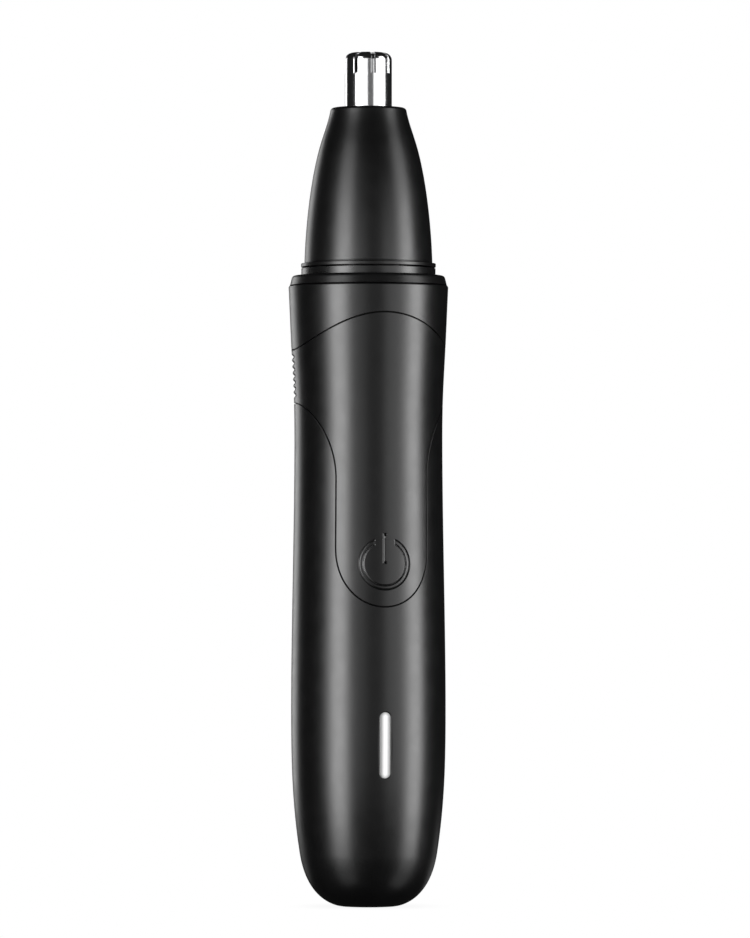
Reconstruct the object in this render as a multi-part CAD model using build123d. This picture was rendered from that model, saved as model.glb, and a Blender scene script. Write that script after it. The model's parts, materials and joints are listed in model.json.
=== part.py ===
from build123d import *
import os

# A handheld nose hair trimmer standing on its foot. Millimetres, +Z up along the rotor axis,
# front (button and light) towards -Y. The origin is the centre of the foot.

# ---- driving dimensions: outside ---------------------------------------------------------
BODY_TOP = 98.8
FOOT_R = 4.0
FOOT_CURVE = [(5.3, 0.0), (9.8, 1.0)]  # handles of the curve from the flat foot to the side
BODY_SIDE = [  # radius, height: lower flank, bulge, waist, shoulder
    (10.95, 8.5),
    (11.99, 18.1),
    (12.31, 30.0),
    (12.09, 50.6),
    (11.8, 71.7),
    (11.9, 81.2),
    (12.29, 88.9),
    (12.73, 98.5),
]
BODY_SIDE_TANGENTS = [(0.155, 1), (0.05, 1)]
BODY_LIP = 0.3
FRONT_REACH = -14.0  # in front of everything
INNER_REACH = -7.0  # inside the hollow of the body

# ---- grip band ---------------------------------------------------------------------------
BAND_THICKNESS = 1.0
SEAM_GAP = 0.1
BAND_TOP_SIDE = 88.5
BAND_TOP_RISE = 5.7
BAND_TOP_RADIUS = 12.3
BAND_BOTTOM = 80.0
SEAM_SIDE_X = 11.75
SEAM_CURVE = [(10.15, 77.9), (8.57, 74.0)]  # x, height: the lower seam's sweep into the tongue
TONGUE_HALF_WIDTH = 7.4
TONGUE_SHOULDER = 68.0
TONGUE_ARC_Z = 57.0
TONGUE_ARC_HEIGHT = 9.3
ARC_HANDLE = 4.1
RIB_FIRST_Z = 80.9
RIB_PITCH = 1.02
RIB_GROOVES = 8
RIB_GROOVE_R = 0.36
RIB_GROOVE_LIFT = 0.08
RIB_FIRST_R = 11.81
RIB_R_STEP = 0.05
RIB_SWEEP = 172

# ---- inside of the body ------------------------------------------------------------------
CAVITY_R = 9.6
CAVITY_FLOOR_R = 6.2
CAVITY_FLOOR = 2.4
CAVITY_STRAIGHT = 9.0
MOUTH_R = 10.85
MOUTH_FLOOR = 95.2

# ---- power button and switch -------------------------------------------------------------
BUTTON_Z = 54.5
BUTTON_R = 4.06
BUTTON_GAP = 0.04
BUTTON_POCKET_GAP = 0.2
BUTTON_FLANGE_R = 4.95
BUTTON_FLANGE_FRONT = -9.1
BUTTON_FLANGE_BACK = -8.4
BUTTON_NUB_R = 1.2
BUTTON_NUB_END = -8.06
SYMBOL_DEPTH = 0.25
SYMBOL_RING_OUTER = 4.0
SYMBOL_STROKE = 0.6
SYMBOL_GAP_HALF = 1.6
SYMBOL_BAR_TOP = 4.0
SWITCH_BASE_FRONT = -7.2
SWITCH_HALF_WIDTH = 2.6
SWITCH_WELL_DEPTH = 0.7
PLUNGER_R = 1.3
PLUNGER_FRONT = -8.04
PLUNGER_BACK = -7.0

# ---- status light ------------------------------------------------------------------------
LIGHT_Z = 25.9
LIGHT_LENGTH = 10.4
LIGHT_WIDTH = 1.7
LIGHT_FLANGE = 0.65
LIGHT_FLANGE_FRONT = -9.36
LIGHT_BACK = -8.6
LIGHT_GAP = 0.03
LED_PITCH = 3.5
LED_HALF_WIDTH = 0.8
LED_HALF_HEIGHT = 0.4
LED_THICKNESS = 0.8

# ---- charging port -----------------------------------------------------------------------
PORT_WIDTH = 8.94
PORT_DEPTH = 3.16
PORT_WALL = 0.3
PORT_CLEARANCE = 0.12
PORT_BOTTOM = 0.5
PORT_TOP = 7.4
PORT_BASE_HEIGHT = 1.2
PORT_TONGUE_HALF_WIDTH = 3.35
PORT_TONGUE_HALF_THICKNESS = 0.35
PORT_TONGUE_TIP = 1.3
GASKET_WIDTH = 0.9
GASKET_HEIGHT = 1.4
PORT_BOARD_R = 7.4
PORT_BOARD_Z = 7.5
BOARD_THICKNESS = 0.8
PIN_COUNT = 6
PIN_PITCH = 1.2
PIN_HALF = 0.25
PIN_BOTTOM = 7.0
PIN_TOP = 12.5

# ---- main board, battery and chassis -----------------------------------------------------
BOARD_FRONT = -6.0
BOARD_BACK = BOARD_FRONT + BOARD_THICKNESS
BOARD_HALF_WIDTH = 6.0
BOARD_BOTTOM = 9.4
BOARD_TOP = 61.5
CONTROL_CHIP = (2.5, 1.2, 36.0, 42.0)  # half width, thickness, bottom, top
CHARGE_CHIP = (1.5, 0.9, 14.5, 17.5)
BATTERY_R = 7.0
BATTERY_Y = 2.2
BATTERY_BOTTOM = 10.6
BATTERY_LENGTH = 43.0
BATTERY_TOP = BATTERY_BOTTOM + BATTERY_LENGTH
BATTERY_NUB_R = 2.5
BATTERY_NUB_HEIGHT = 0.5
BATTERY_EDGE_R = 0.5
BATTERY_PAD_R = 5.0
TAB_THICKNESS = 0.15
TAB_HALF_WIDTH = 2.0
TAB_BACK_Y = 6.0
TAB_LEG_END_TOP = 50.0
TAB_LEG_END_BOTTOM = 14.0
CHASSIS_R = 9.3
CHASSIS_BOTTOM = 8.9
CHASSIS_FRONT_Y = -6.8
CHASSIS_WINDOW = 10.8
BOARD_SLOT_GAP = 0.1
BULKHEADS = [(8.9, 10.3), (55.1, 57.0)]
CRADLE_BOTTOM = 57.0
CRADLE_R = 7.85
CRADLE_WINDOW = 12.4
MOTOR_SHELF = (62.0, 63.4)
SHELF_HOLE_R = 2.5

# ---- motor -------------------------------------------------------------------------------
MOTOR_BOTTOM = 63.4
MOTOR_TOP = 89.4
MOTOR_R = 7.75
MOTOR_FLATS = 12.1
MOTOR_WALL = 0.5
END_CAP_TOP = 65.4
BOSS_R = 3.05
BOSS_HEIGHT = 1.0
BUSH_R = 1.9
SHAFT_R = 1.0
SHAFT_CLEARANCE = 0.02
SHAFT_BOTTOM = 64.0
SHAFT_TOP = 99.5
CORE_BOTTOM = 72.0
CORE_TOP = 82.0
CORE_R = 5.0
CORE_HUB_R = 2.2
CORE_SHOE_R = 4.0
CORE_ARM = 1.6
COIL = (2.35, 3.65, 1.4)  # inner reach, outer reach, half width
COMMUTATOR_R = 1.9
COMMUTATOR_SPAN = (67.2, 70.0)
MAGNET_RADII = (5.3, 7.2)
MAGNET_BOTTOM = 70.5
MAGNET_HEIGHT = 13.5
BRUSH_GAP = 0.05
BRUSH_THICKNESS = 0.2
BRUSH_HALF_LENGTH = 2.6
BRUSH_SPAN = (67.8, 69.2)
TERMINAL_X = 4.5
TERMINAL_Y = 2.5
TERMINAL_HALF = 0.2
TERMINAL_BOTTOM = 60.6
LEAD_R = 0.4
SCREW_X = 5.0
SCREW_R = 0.8
SCREW_HOLE_R = 0.85
SCREW_BOTTOM = 88.6
SCREW_HEAD_R = 1.4
SCREW_HEAD_HEIGHT = 1.1
SCREW_ACCESS_R = 1.45
SCREW_CROSS = (1.1, 0.2, 0.5)  # half length, half width, depth

# ---- drive, neck and head ----------------------------------------------------------------
COUPLING_R = 2.6
COUPLING_BOTTOM = 93.0
COUPLING_TOP = 103.0
SOCKET_BOTTOM = 99.8
SQUARE_DRIVE = 2.4
SQUARE_CLEARANCE = 0.04
STEM_BOTTOM = 100.4
STEM_SHOULDER = 105.2
STEM_SHOULDER_R = 2.3
STEM_SHOULDER_HEIGHT = 0.6
STEM_R = 1.7
STEM_TIP_R = 1.2
STEM_TIP = 124.0
STEM_TOP = 126.6
SPRING_R = 1.95
SPRING_WIRE_R = 0.17
SPRING_TURNS = 3

NECK_BOTTOM = MOTOR_TOP
NECK_PLATE_TOP = 92.4
NECK_SKIRT_R = 9.3
NECK_FLANGE_R = 10.8
NECK_R = 10.7
COLLAR_SEAT_R = 10.6
NECK_TOP = 101.55
PLUG_R = 8.2
PLUG_TOP = 108.0
NECK_BORE_R = 3.6
BUSH_SEAT = 105.9
BUSH_SEAT_R = 3.0
STEM_CLEARANCE = 0.03
SHAFT_SEAL_R = 3.4
SHAFT_SEAL_HEIGHT = 0.7
SEAL_Z = 104.8
SEAL_WIRE_R = 0.8
SEAL_OUTER_R = 8.72
MOUTH_SEAL_Z = 96.8
MOUTH_SEAL_WIRE_R = 0.6

COLLAR_BOTTOM = 98.95
COLLAR_TOP = 100.4
COLLAR_FLANK = [(12.62, 98.95), (12.28, 99.85), (12.05, 100.25), (11.7, 100.4)]

HEAD_BOTTOM = 101.75
HEAD_FLANGE_TOP = 102.35
HEAD_FLANGE_R = 10.75
HEAD_GROOVE_R = 10.15
HEAD_TOP = 127.2
CONE_OUTLINE = [(10.2, 102.6), (9.71, 109.9), (8.57, 117.6), (7.64, 121.4), (6.1, 126.6)]
CONE_RIM_R = 0.6
SOCKET_R = 8.75
SOCKET_TOP = 109.5
SEAT_R = 6.4
SEAT_BOTTOM = 114.5
SEAT_TOP = 118.1

CUTTER_R = 3.74
CUTTER_WALL = 0.29
CUTTER_BOTTOM = 117.5
CUTTER_TOP = 136.0
CUTTER_EDGE_R = 1.2
CUTTER_FLANGE_R = 5.6
CUTTER_FLANGE_HEIGHT = 0.5
CUTTER_SEAT_GAP = 0.03
RETAINER_BORE_R = 4.1
RETAINER_HEIGHT = 1.2
SLOT_COUNT = 8
SLOT_WIDTH = 0.7
SLOT_DEPTH = 3.4
SLOT_INNER_R = 1.3
BLADE_COUNT = 4
BLADE_CLEARANCE = 0.06
BLADE_THICKNESS = 0.45
BLADE_BOTTOM = 123.4
BLADE_HUB_TOP = 126.4
BLADE_HUB_R = 2.1


# ---- small helpers -----------------------------------------------------------------------
def rod(radius, bottom, top, x=0.0, y=0.0):
    """A cylinder along Z between two heights."""
    return Pos(x, y, (bottom + top) / 2) * Cylinder(radius, top - bottom)


def tube(outer, inner, bottom, top):
    """A round tube about the rotor axis."""
    return rod(outer, bottom, top) - rod(inner, bottom, top)


def block(low, high):
    """A box between two corners."""
    size = [high[i] - low[i] for i in range(3)]
    middle = [(high[i] + low[i]) / 2 for i in range(3)]
    return Pos(*middle) * Box(*size)


def turned(*edges):
    """Edges drawn as (radius, height), closed and turned about the rotor axis."""
    return revolve(Plane.XZ * make_face(Curve() + list(edges)), Axis.Z)


def turned_polygon(points):
    """A closed outline of straight lines, turned about the rotor axis."""
    return revolve(Plane.XZ * make_face(Polyline(*points, close=True)), Axis.Z)


def ring_cord(outer_r, cord_r, height):
    """An O-ring that reaches outer_r."""
    return Pos(0, 0, height) * Torus(outer_r - cord_r, cord_r)


def front_plug(sketch, front, back, height):
    """A sketch of the front view (x, z), drawn about a height and run from front to back in y."""
    placed = Plane((0, back, height), x_dir=(1, 0, 0), z_dir=(0, -1, 0)) * sketch
    return extrude(placed, amount=back - front)


def around(shape, count, first=0.0):
    """Copies of a shape spread evenly about the rotor axis."""
    return [Rot(0, 0, first + 360 * i / count) * shape for i in range(count)]


# ---- outer form --------------------------------------------------------------------------
def body_form(inset=0.0):
    """The solid outer form of the handle, drawn in by inset."""
    side_points = [(radius - inset, height) for radius, height in BODY_SIDE]
    handles = [(radius - inset, height) for radius, height in FOOT_CURVE]
    foot_edge = (FOOT_R - inset, 0)
    last_r, last_z = side_points[-1]
    foot = Line((0, 0), foot_edge)
    corner = Bezier(foot_edge, *handles, side_points[0])
    side = Spline(*side_points, tangents=BODY_SIDE_TANGENTS)
    lip = Line((last_r, last_z), (last_r - BODY_LIP, BODY_TOP))
    top = Line((last_r - BODY_LIP, BODY_TOP), (0, BODY_TOP))
    axis = Line((0, BODY_TOP), (0, 0))
    return turned(foot, corner, side, lip, top, axis)


def tongue_face(margin):
    """The front view (x, z) of the band's lower seam, closed well above the band."""
    reach, ceiling = 15.0, 100.0
    width = TONGUE_HALF_WIDTH - margin
    level = BAND_BOTTOM + margin
    sweep_points = [(x - 0.7 * margin, z + 0.7 * margin) for x, z in SEAM_CURVE]
    mirrored = [(-x, z) for x, z in reversed(sweep_points)]
    over = Polyline((-SEAM_SIDE_X, level), (-reach, level), (-reach, ceiling), (reach, ceiling))
    right_top = Polyline((reach, ceiling), (reach, level), (SEAM_SIDE_X, level))
    right_points = [(SEAM_SIDE_X, level), *sweep_points, (width, TONGUE_SHOULDER)]
    right = Spline(*right_points, tangents=[(-1, -0.9), (0, -1)])
    right_side = Line((width, TONGUE_SHOULDER), (width, TONGUE_ARC_Z))
    low = TONGUE_ARC_Z - (TONGUE_ARC_HEIGHT - margin)
    right_arc = Bezier((width, TONGUE_ARC_Z), (width, low + ARC_HANDLE), (ARC_HANDLE, low), (0, low))
    left_arc = Bezier((0, low), (-ARC_HANDLE, low), (-width, low + ARC_HANDLE), (-width, TONGUE_ARC_Z))
    left_side = Line((-width, TONGUE_ARC_Z), (-width, TONGUE_SHOULDER))
    left = Spline((-width, TONGUE_SHOULDER), *mirrored, (-SEAM_SIDE_X, level), tangents=[(0, 1), (-1, 0.9)])
    return make_face(Curve() + [over, right_top, right, right_side, right_arc, left_arc, left_side, left])


def band_zone(margin=0.0):
    """Everything between the band's two seams, drawn in by margin."""
    reach, floor = 15.0, 40.0
    front = front_plug(tongue_face(margin), -reach, 0, 0)
    back = block((-reach, 0, BAND_BOTTOM + margin), (reach, reach, 100))
    edge = BAND_TOP_SIDE - margin + BAND_TOP_RISE * (reach / BAND_TOP_RADIUS) ** 2
    middle = 2 * (BAND_TOP_SIDE - margin) - edge
    crest = Bezier((-reach, edge), (0, middle), (reach, edge))
    sides = Polyline((reach, edge), (reach, floor), (-reach, floor), (-reach, edge))
    under = extrude(Plane.YZ * make_face(Curve() + [crest, sides]), amount=reach, both=True)
    return (front + back) & under


def rib_grooves():
    """Grooves between the ribs, running round the back from one side to the other."""
    cuts = []
    for i in range(RIB_GROOVES):
        height = RIB_FIRST_Z + i * RIB_PITCH
        surface_r = RIB_FIRST_R + i * RIB_R_STEP
        section = Plane.XZ * Pos(surface_r + RIB_GROOVE_LIFT, height) * Circle(RIB_GROOVE_R)
        groove = revolve(section, Axis.Z, revolution_arc=RIB_SWEEP)
        cuts.append(Rot(0, 0, 90 - RIB_SWEEP / 2) * groove)
    return cuts


# ---- handle pieces -----------------------------------------------------------------------
def cavity():
    """The straight-drawn hollow of the body and its wider mouth."""
    outline = [
        (0, CAVITY_FLOOR),
        (CAVITY_FLOOR_R, CAVITY_FLOOR),
        (CAVITY_R, CAVITY_STRAIGHT),
        (CAVITY_R, MOUTH_FLOOR),
        (MOUTH_R, MOUTH_FLOOR),
        (MOUTH_R, BODY_TOP + 1),
        (0, BODY_TOP + 1),
    ]
    return turned_polygon(outline)


def port_outline(grow=0.0):
    """The charging port's rounded outline, in plan."""
    return SlotOverall(PORT_WIDTH + 2 * grow, PORT_DEPTH + 2 * grow)


def light_outline(grow=0.0):
    """The status light's upright outline."""
    return SlotOverall(LIGHT_LENGTH + 2 * grow, LIGHT_WIDTH + 2 * grow, rotation=90)


def button_hole():
    """The round way for the button through the band and the shell."""
    return front_plug(Circle(BUTTON_R + BUTTON_GAP), FRONT_REACH, INNER_REACH, BUTTON_Z)


def body_shell():
    form = body_form()
    band_room = band_zone() & (form - body_form(BAND_THICKNESS))
    shell = form - cavity() - band_room
    shell -= extrude(port_outline(PORT_CLEARANCE), amount=CAVITY_FLOOR + 2)
    shell -= front_plug(light_outline(LIGHT_GAP), FRONT_REACH, INNER_REACH, LIGHT_Z)
    shell -= button_hole()
    pocket = Circle(BUTTON_FLANGE_R + BUTTON_POCKET_GAP)
    return shell - front_plug(pocket, BUTTON_FLANGE_FRONT - BUTTON_POCKET_GAP / 2, INNER_REACH, BUTTON_Z)


def grip_band():
    band = band_zone(SEAM_GAP) & (body_form() - body_form(BAND_THICKNESS))
    return band - button_hole() - rib_grooves()


def power_symbol():
    """The generic power sign: an open ring with an upright bar, as a front view."""
    ring = Circle(SYMBOL_RING_OUTER) - Circle(SYMBOL_RING_OUTER - SYMBOL_STROKE)
    ring -= Pos(0, SYMBOL_RING_OUTER) * Rectangle(2 * SYMBOL_GAP_HALF, SYMBOL_RING_OUTER)
    bar = Pos(0, SYMBOL_BAR_TOP / 2) * Rectangle(SYMBOL_STROKE, SYMBOL_BAR_TOP)
    return ring + bar


def power_button():
    cap = front_plug(Circle(BUTTON_R), FRONT_REACH, BUTTON_FLANGE_FRONT, BUTTON_Z) & body_form()
    symbol = front_plug(power_symbol(), FRONT_REACH, INNER_REACH, BUTTON_Z)
    cap -= symbol - body_form(SYMBOL_DEPTH)
    flange = front_plug(Circle(BUTTON_FLANGE_R), BUTTON_FLANGE_FRONT, BUTTON_FLANGE_BACK, BUTTON_Z)
    nub = front_plug(Circle(BUTTON_NUB_R), BUTTON_FLANGE_BACK, BUTTON_NUB_END, BUTTON_Z)
    return cap + flange + nub


def light_guide():
    bar = front_plug(light_outline(), FRONT_REACH, LIGHT_BACK, LIGHT_Z) & body_form()
    flange = front_plug(light_outline(LIGHT_FLANGE), LIGHT_FLANGE_FRONT, LIGHT_BACK, LIGHT_Z)
    return bar + flange


def collar_ring():
    inside = [(COLLAR_SEAT_R, COLLAR_TOP), (COLLAR_SEAT_R, COLLAR_BOTTOM)]
    return turned_polygon(COLLAR_FLANK + inside)


# ---- charging port -----------------------------------------------------------------------
def usb_shell():
    outside = Pos(0, 0, PORT_BOTTOM) * extrude(port_outline(), amount=PORT_TOP - PORT_BOTTOM)
    inside = Pos(0, 0, PORT_BOTTOM) * extrude(port_outline(-PORT_WALL), amount=PORT_TOP - PORT_BOTTOM)
    return outside - inside


def usb_tongue():
    base = extrude(port_outline(-PORT_WALL), amount=PORT_BASE_HEIGHT)
    base = Pos(0, 0, PORT_TOP - PORT_BASE_HEIGHT) * base
    w, t = PORT_TONGUE_HALF_WIDTH, PORT_TONGUE_HALF_THICKNESS
    return base + block((-w, -t, PORT_TONGUE_TIP), (w, t, PORT_TOP))


def port_gasket():
    ring = port_outline(GASKET_WIDTH) - port_outline()
    return Pos(0, 0, CAVITY_FLOOR) * extrude(ring, amount=GASKET_HEIGHT)


def port_board():
    return rod(PORT_BOARD_R, PORT_BOARD_Z, PORT_BOARD_Z + BOARD_THICKNESS) - port_pins(PIN_HALF / 5)


def port_pins(grow=0.0):
    """Square pins that join the port board to the front of the main board."""
    half = PIN_HALF + grow
    y = BOARD_FRONT - 1.2 * PIN_HALF
    places = [(i - (PIN_COUNT - 1) / 2) * PIN_PITCH for i in range(PIN_COUNT)]
    return [block((x - half, y - half, PIN_BOTTOM), (x + half, y + half, PIN_TOP)) for x in places]


# ---- boards, battery and chassis ---------------------------------------------------------
def main_board():
    return block((-BOARD_HALF_WIDTH, BOARD_FRONT, BOARD_BOTTOM), (BOARD_HALF_WIDTH, BOARD_BACK, BOARD_TOP))


def on_board(half_width, height, bottom, top):
    """A component on the front of the main board."""
    return block((-half_width, BOARD_FRONT - height, bottom), (half_width, BOARD_FRONT, top))


def status_leds():
    middles = [LIGHT_Z - LED_PITCH, LIGHT_Z, LIGHT_Z + LED_PITCH]
    h = LED_HALF_HEIGHT
    return [on_board(LED_HALF_WIDTH, LED_THICKNESS, z - h, z + h) for z in middles]


def switch_base():
    height = BOARD_FRONT - SWITCH_BASE_FRONT
    floor = SWITCH_BASE_FRONT + SWITCH_WELL_DEPTH
    well = front_plug(Circle(PLUNGER_R + BUTTON_GAP), SWITCH_BASE_FRONT, floor, BUTTON_Z)
    w = SWITCH_HALF_WIDTH
    return on_board(w, height, BUTTON_Z - w, BUTTON_Z + w) - well


def switch_plunger():
    return front_plug(Circle(PLUNGER_R), PLUNGER_FRONT, PLUNGER_BACK, BUTTON_Z)


def battery_cell():
    can = rod(BATTERY_R, BATTERY_BOTTOM, BATTERY_TOP, y=BATTERY_Y)
    can = fillet(can.edges().filter_by(GeomType.CIRCLE), BATTERY_EDGE_R)
    return can + rod(BATTERY_NUB_R, BATTERY_TOP, BATTERY_TOP + BATTERY_NUB_HEIGHT, y=BATTERY_Y)


def battery_tab(height, leg_end):
    """A nickel strip across a battery end, with a leg soldered to the back of the main board."""
    w, t = TAB_HALF_WIDTH, TAB_THICKNESS
    strip = block((-w, BOARD_BACK, height), (w, TAB_BACK_Y, height + t))
    low, high = min(height, leg_end), max(height + t, leg_end)
    return strip + block((-w, BOARD_BACK, low), (w, BOARD_BACK + t, high))


def battery_pad():
    """A foam disc that takes up the play above the positive tab."""
    bottom = BATTERY_TOP + BATTERY_NUB_HEIGHT + TAB_THICKNESS
    return rod(BATTERY_PAD_R, bottom, BULKHEADS[1][0], y=BATTERY_Y)


def chassis_front_cut():
    """The room for the main board and what stands on it, as a plan view."""
    reach = 10.0
    slot_back = BOARD_BACK + BOARD_SLOT_GAP
    front = Pos(0, CHASSIS_FRONT_Y - reach / 2) * Rectangle(3 * reach, reach)
    window = Pos(0, slot_back - reach / 2) * Rectangle(CHASSIS_WINDOW, reach)
    middle = (BOARD_FRONT + BOARD_BACK) / 2
    groove = Pos(0, middle) * Rectangle(
        2 * (BOARD_HALF_WIDTH + BOARD_SLOT_GAP), BOARD_THICKNESS + 2 * BOARD_SLOT_GAP
    )
    return front + window + groove


def chassis():
    disc = Circle(CHASSIS_R) - chassis_front_cut()
    hollow = Pos(0, BATTERY_Y) * Circle(BATTERY_R + 0.15) + Pos(0, -5) * Rectangle(BATTERY_R, 10)
    frame = Pos(0, 0, CHASSIS_BOTTOM) * extrude(disc - hollow, amount=CRADLE_BOTTOM - CHASSIS_BOTTOM)
    for bottom, top in BULKHEADS:
        frame += Pos(0, 0, bottom) * extrude(disc, amount=top - bottom)
    front_window = Pos(0, -CHASSIS_R) * Rectangle(CRADLE_WINDOW, 2 * CHASSIS_R)
    cradle = Circle(CHASSIS_R) - Circle(CRADLE_R) - front_window
    frame += Pos(0, 0, CRADLE_BOTTOM) * extrude(cradle, amount=MOTOR_TOP - CRADLE_BOTTOM)
    shelf = disc - Circle(SHELF_HOLE_R)
    for x in (-TERMINAL_X, TERMINAL_X):
        shelf -= Pos(x, TERMINAL_Y) * Rectangle(2, 3)
    frame += Pos(0, 0, MOTOR_SHELF[0]) * extrude(shelf, amount=MOTOR_SHELF[1] - MOTOR_SHELF[0])
    return frame


# ---- motor -------------------------------------------------------------------------------
def motor_section(inset=0.0):
    """The round motor section with its two flats, in plan."""
    return Circle(MOTOR_R - inset) & Rectangle(20, MOTOR_FLATS - 2 * inset)


def motor_can():
    height = MOTOR_TOP - END_CAP_TOP
    can = extrude(motor_section(), amount=height)
    can -= extrude(motor_section(MOTOR_WALL), amount=height - MOTOR_WALL)
    can = Pos(0, 0, END_CAP_TOP) * can
    can += rod(BOSS_R, MOTOR_TOP - 1, MOTOR_TOP + BOSS_HEIGHT)
    can -= rod(BUSH_R, MOTOR_TOP - 2, MOTOR_TOP + 2)
    for x in (-SCREW_X, SCREW_X):
        can -= rod(SCREW_HOLE_R, MOTOR_TOP - 1, MOTOR_TOP + 1, x=x)
    return can


def motor_end_cap():
    cap = Pos(0, 0, MOTOR_BOTTOM) * extrude(motor_section(), amount=END_CAP_TOP - MOTOR_BOTTOM)
    cap += Pos(0, 0, END_CAP_TOP) * extrude(motor_section(MOTOR_WALL + 0.05), amount=1.0)
    cap -= rod(BUSH_R, MOTOR_BOTTOM + 0.4, END_CAP_TOP + 2)
    for x in (-TERMINAL_X, TERMINAL_X):
        low = (x - TERMINAL_HALF, TERMINAL_Y - 1, MOTOR_BOTTOM - 1)
        cap -= block(low, (x + TERMINAL_HALF, TERMINAL_Y + 1, END_CAP_TOP + 2))
    return cap


def motor_bushes():
    inner = SHAFT_R + SHAFT_CLEARANCE
    rear = tube(BUSH_R, inner, MOTOR_BOTTOM + 0.4, MOTOR_BOTTOM + 2.4)
    front = tube(BUSH_R, inner, MOTOR_TOP - 1, MOTOR_TOP + BOSS_HEIGHT)
    return [rear, front]


def motor_magnets():
    inner, outer = MAGNET_RADII
    wedge = make_face(Polyline((0, 0), (10, 9), (10, -9), close=True))
    arc = Pos(0, 0, MAGNET_BOTTOM) * extrude((Circle(outer) - Circle(inner)) & wedge, amount=MAGNET_HEIGHT)
    return around(arc, 2)


def armature_core():
    wedge = make_face(Polyline((0, 0), (8, 8), (8, -8), close=True))
    shoe = (Circle(CORE_R) - Circle(CORE_SHOE_R)) & wedge
    arm = Pos(CORE_HUB_R, 0) * Rectangle(CORE_SHOE_R, CORE_ARM)
    plan = Circle(CORE_HUB_R)
    for angle in (0, 120, 240):
        plan += Rot(0, 0, angle) * (shoe + arm)
    plan -= Circle(SHAFT_R)
    return Pos(0, 0, CORE_BOTTOM) * extrude(plan, amount=CORE_TOP - CORE_BOTTOM)


def armature_windings():
    inner, outer, half = COIL
    coil = block((inner, -half, CORE_BOTTOM - 1), (outer, half, CORE_TOP + 1))
    coil -= block((0, -CORE_ARM / 2, CORE_BOTTOM), (CORE_R, CORE_ARM / 2, CORE_TOP))
    return around(coil, 3)


def motor_brushes():
    near = COMMUTATOR_R + BRUSH_GAP
    far, reach = near + BRUSH_THICKNESS, BRUSH_HALF_LENGTH
    low, high = BRUSH_SPAN
    pad = block((near, -reach, low), (far, reach, high))
    leg = block((near, reach - 2 * BRUSH_THICKNESS, END_CAP_TOP + 1), (far, reach, high))
    return around(pad + leg, 2)


def motor_terminals():
    x, y, t = TERMINAL_X, TERMINAL_Y, TERMINAL_HALF
    tab = block((x - t, y - 1, TERMINAL_BOTTOM), (x + t, y + 1, END_CAP_TOP + 1.4))
    return [tab, mirror(tab, Plane.YZ)]


def motor_screws():
    top = NECK_PLATE_TOP + SCREW_HEAD_HEIGHT
    length, width, depth = SCREW_CROSS
    screw = rod(SCREW_R, SCREW_BOTTOM, NECK_PLATE_TOP) + rod(SCREW_HEAD_R, NECK_PLATE_TOP, top)
    screw -= block((-length, -width, top - depth), (length, width, top))
    screw -= block((-width, -length, top - depth), (width, length, top))
    return [Pos(x, 0, 0) * screw for x in (-SCREW_X, SCREW_X)]


def motor_leads():
    """The two wires from the top of the main board to the motor's terminals."""
    path = Spline((3, BOARD_BACK + 0.5, 60.2), (3.6, -1.5, 59.2), (TERMINAL_X - 0.7, TERMINAL_Y, 61.0))
    section = Plane(path @ 0, z_dir=path % 0) * Circle(LEAD_R)
    lead = sweep(section, path)
    return [lead, mirror(lead, Plane.YZ)]


# ---- drive -------------------------------------------------------------------------------
def drive_coupling():
    body = rod(COUPLING_R, COUPLING_BOTTOM, COUPLING_TOP) - rod(SHAFT_R, COUPLING_BOTTOM, SHAFT_TOP)
    half = SQUARE_DRIVE / 2 + SQUARE_CLEARANCE
    return body - block((-half, -half, SOCKET_BOTTOM), (half, half, COUPLING_TOP))


def cutter_stem():
    half = SQUARE_DRIVE / 2
    stem = block((-half, -half, STEM_BOTTOM), (half, half, STEM_SHOULDER))
    stem += rod(STEM_SHOULDER_R, STEM_SHOULDER, STEM_SHOULDER + STEM_SHOULDER_HEIGHT)
    stem += rod(STEM_R, STEM_SHOULDER, STEM_TIP)
    return stem + rod(STEM_TIP_R, STEM_TIP, STEM_TOP)


def blade_spring():
    height = STEM_SHOULDER - COUPLING_TOP - 2 * SPRING_WIRE_R
    path = Helix(pitch=height / SPRING_TURNS, height=height, radius=SPRING_R)
    wire = sweep(Plane(path @ 0, z_dir=path % 0) * Circle(SPRING_WIRE_R), path, is_frenet=True)
    return Pos(0, 0, COUPLING_TOP + SPRING_WIRE_R) * wire


def cutter_form(inset=0.0):
    """The cutter's outer form, a round bar with a rounded top, drawn in by inset."""
    radius, top, edge = CUTTER_R - inset, CUTTER_TOP - inset, CUTTER_EDGE_R - inset
    bar = rod(radius, CUTTER_BOTTOM, top)
    return fillet(bar.edges().filter_by(GeomType.CIRCLE).sort_by(Axis.Z)[-1], edge)


def outer_cutter():
    tip = cutter_form() - cutter_form(CUTTER_WALL)
    flange_top = CUTTER_BOTTOM + CUTTER_FLANGE_HEIGHT
    tip += tube(CUTTER_FLANGE_R, CUTTER_R - CUTTER_WALL, CUTTER_BOTTOM, flange_top)
    slot = block(
        (-SLOT_WIDTH / 2, -CUTTER_R - 1, CUTTER_TOP - SLOT_DEPTH),
        (SLOT_WIDTH / 2, -SLOT_INNER_R, CUTTER_TOP + 1),
    )
    return tip - around(slot, SLOT_COUNT)


def inner_blade():
    reach = cutter_form(CUTTER_WALL + BLADE_CLEARANCE)
    t = BLADE_THICKNESS / 2
    fins = block((-5, -t, BLADE_BOTTOM), (5, t, CUTTER_TOP))
    fins += block((-t, -5, BLADE_BOTTOM), (t, 5, CUTTER_TOP))
    blade = fins & reach
    blade -= rod(STEM_TIP_R, BLADE_BOTTOM, STEM_TOP + 0.2)
    blade += tube(BLADE_HUB_R, STEM_TIP_R, STEM_TIP, BLADE_HUB_TOP)
    return blade - rod(STEM_R + SHAFT_CLEARANCE, BLADE_BOTTOM, STEM_TIP)


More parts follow.
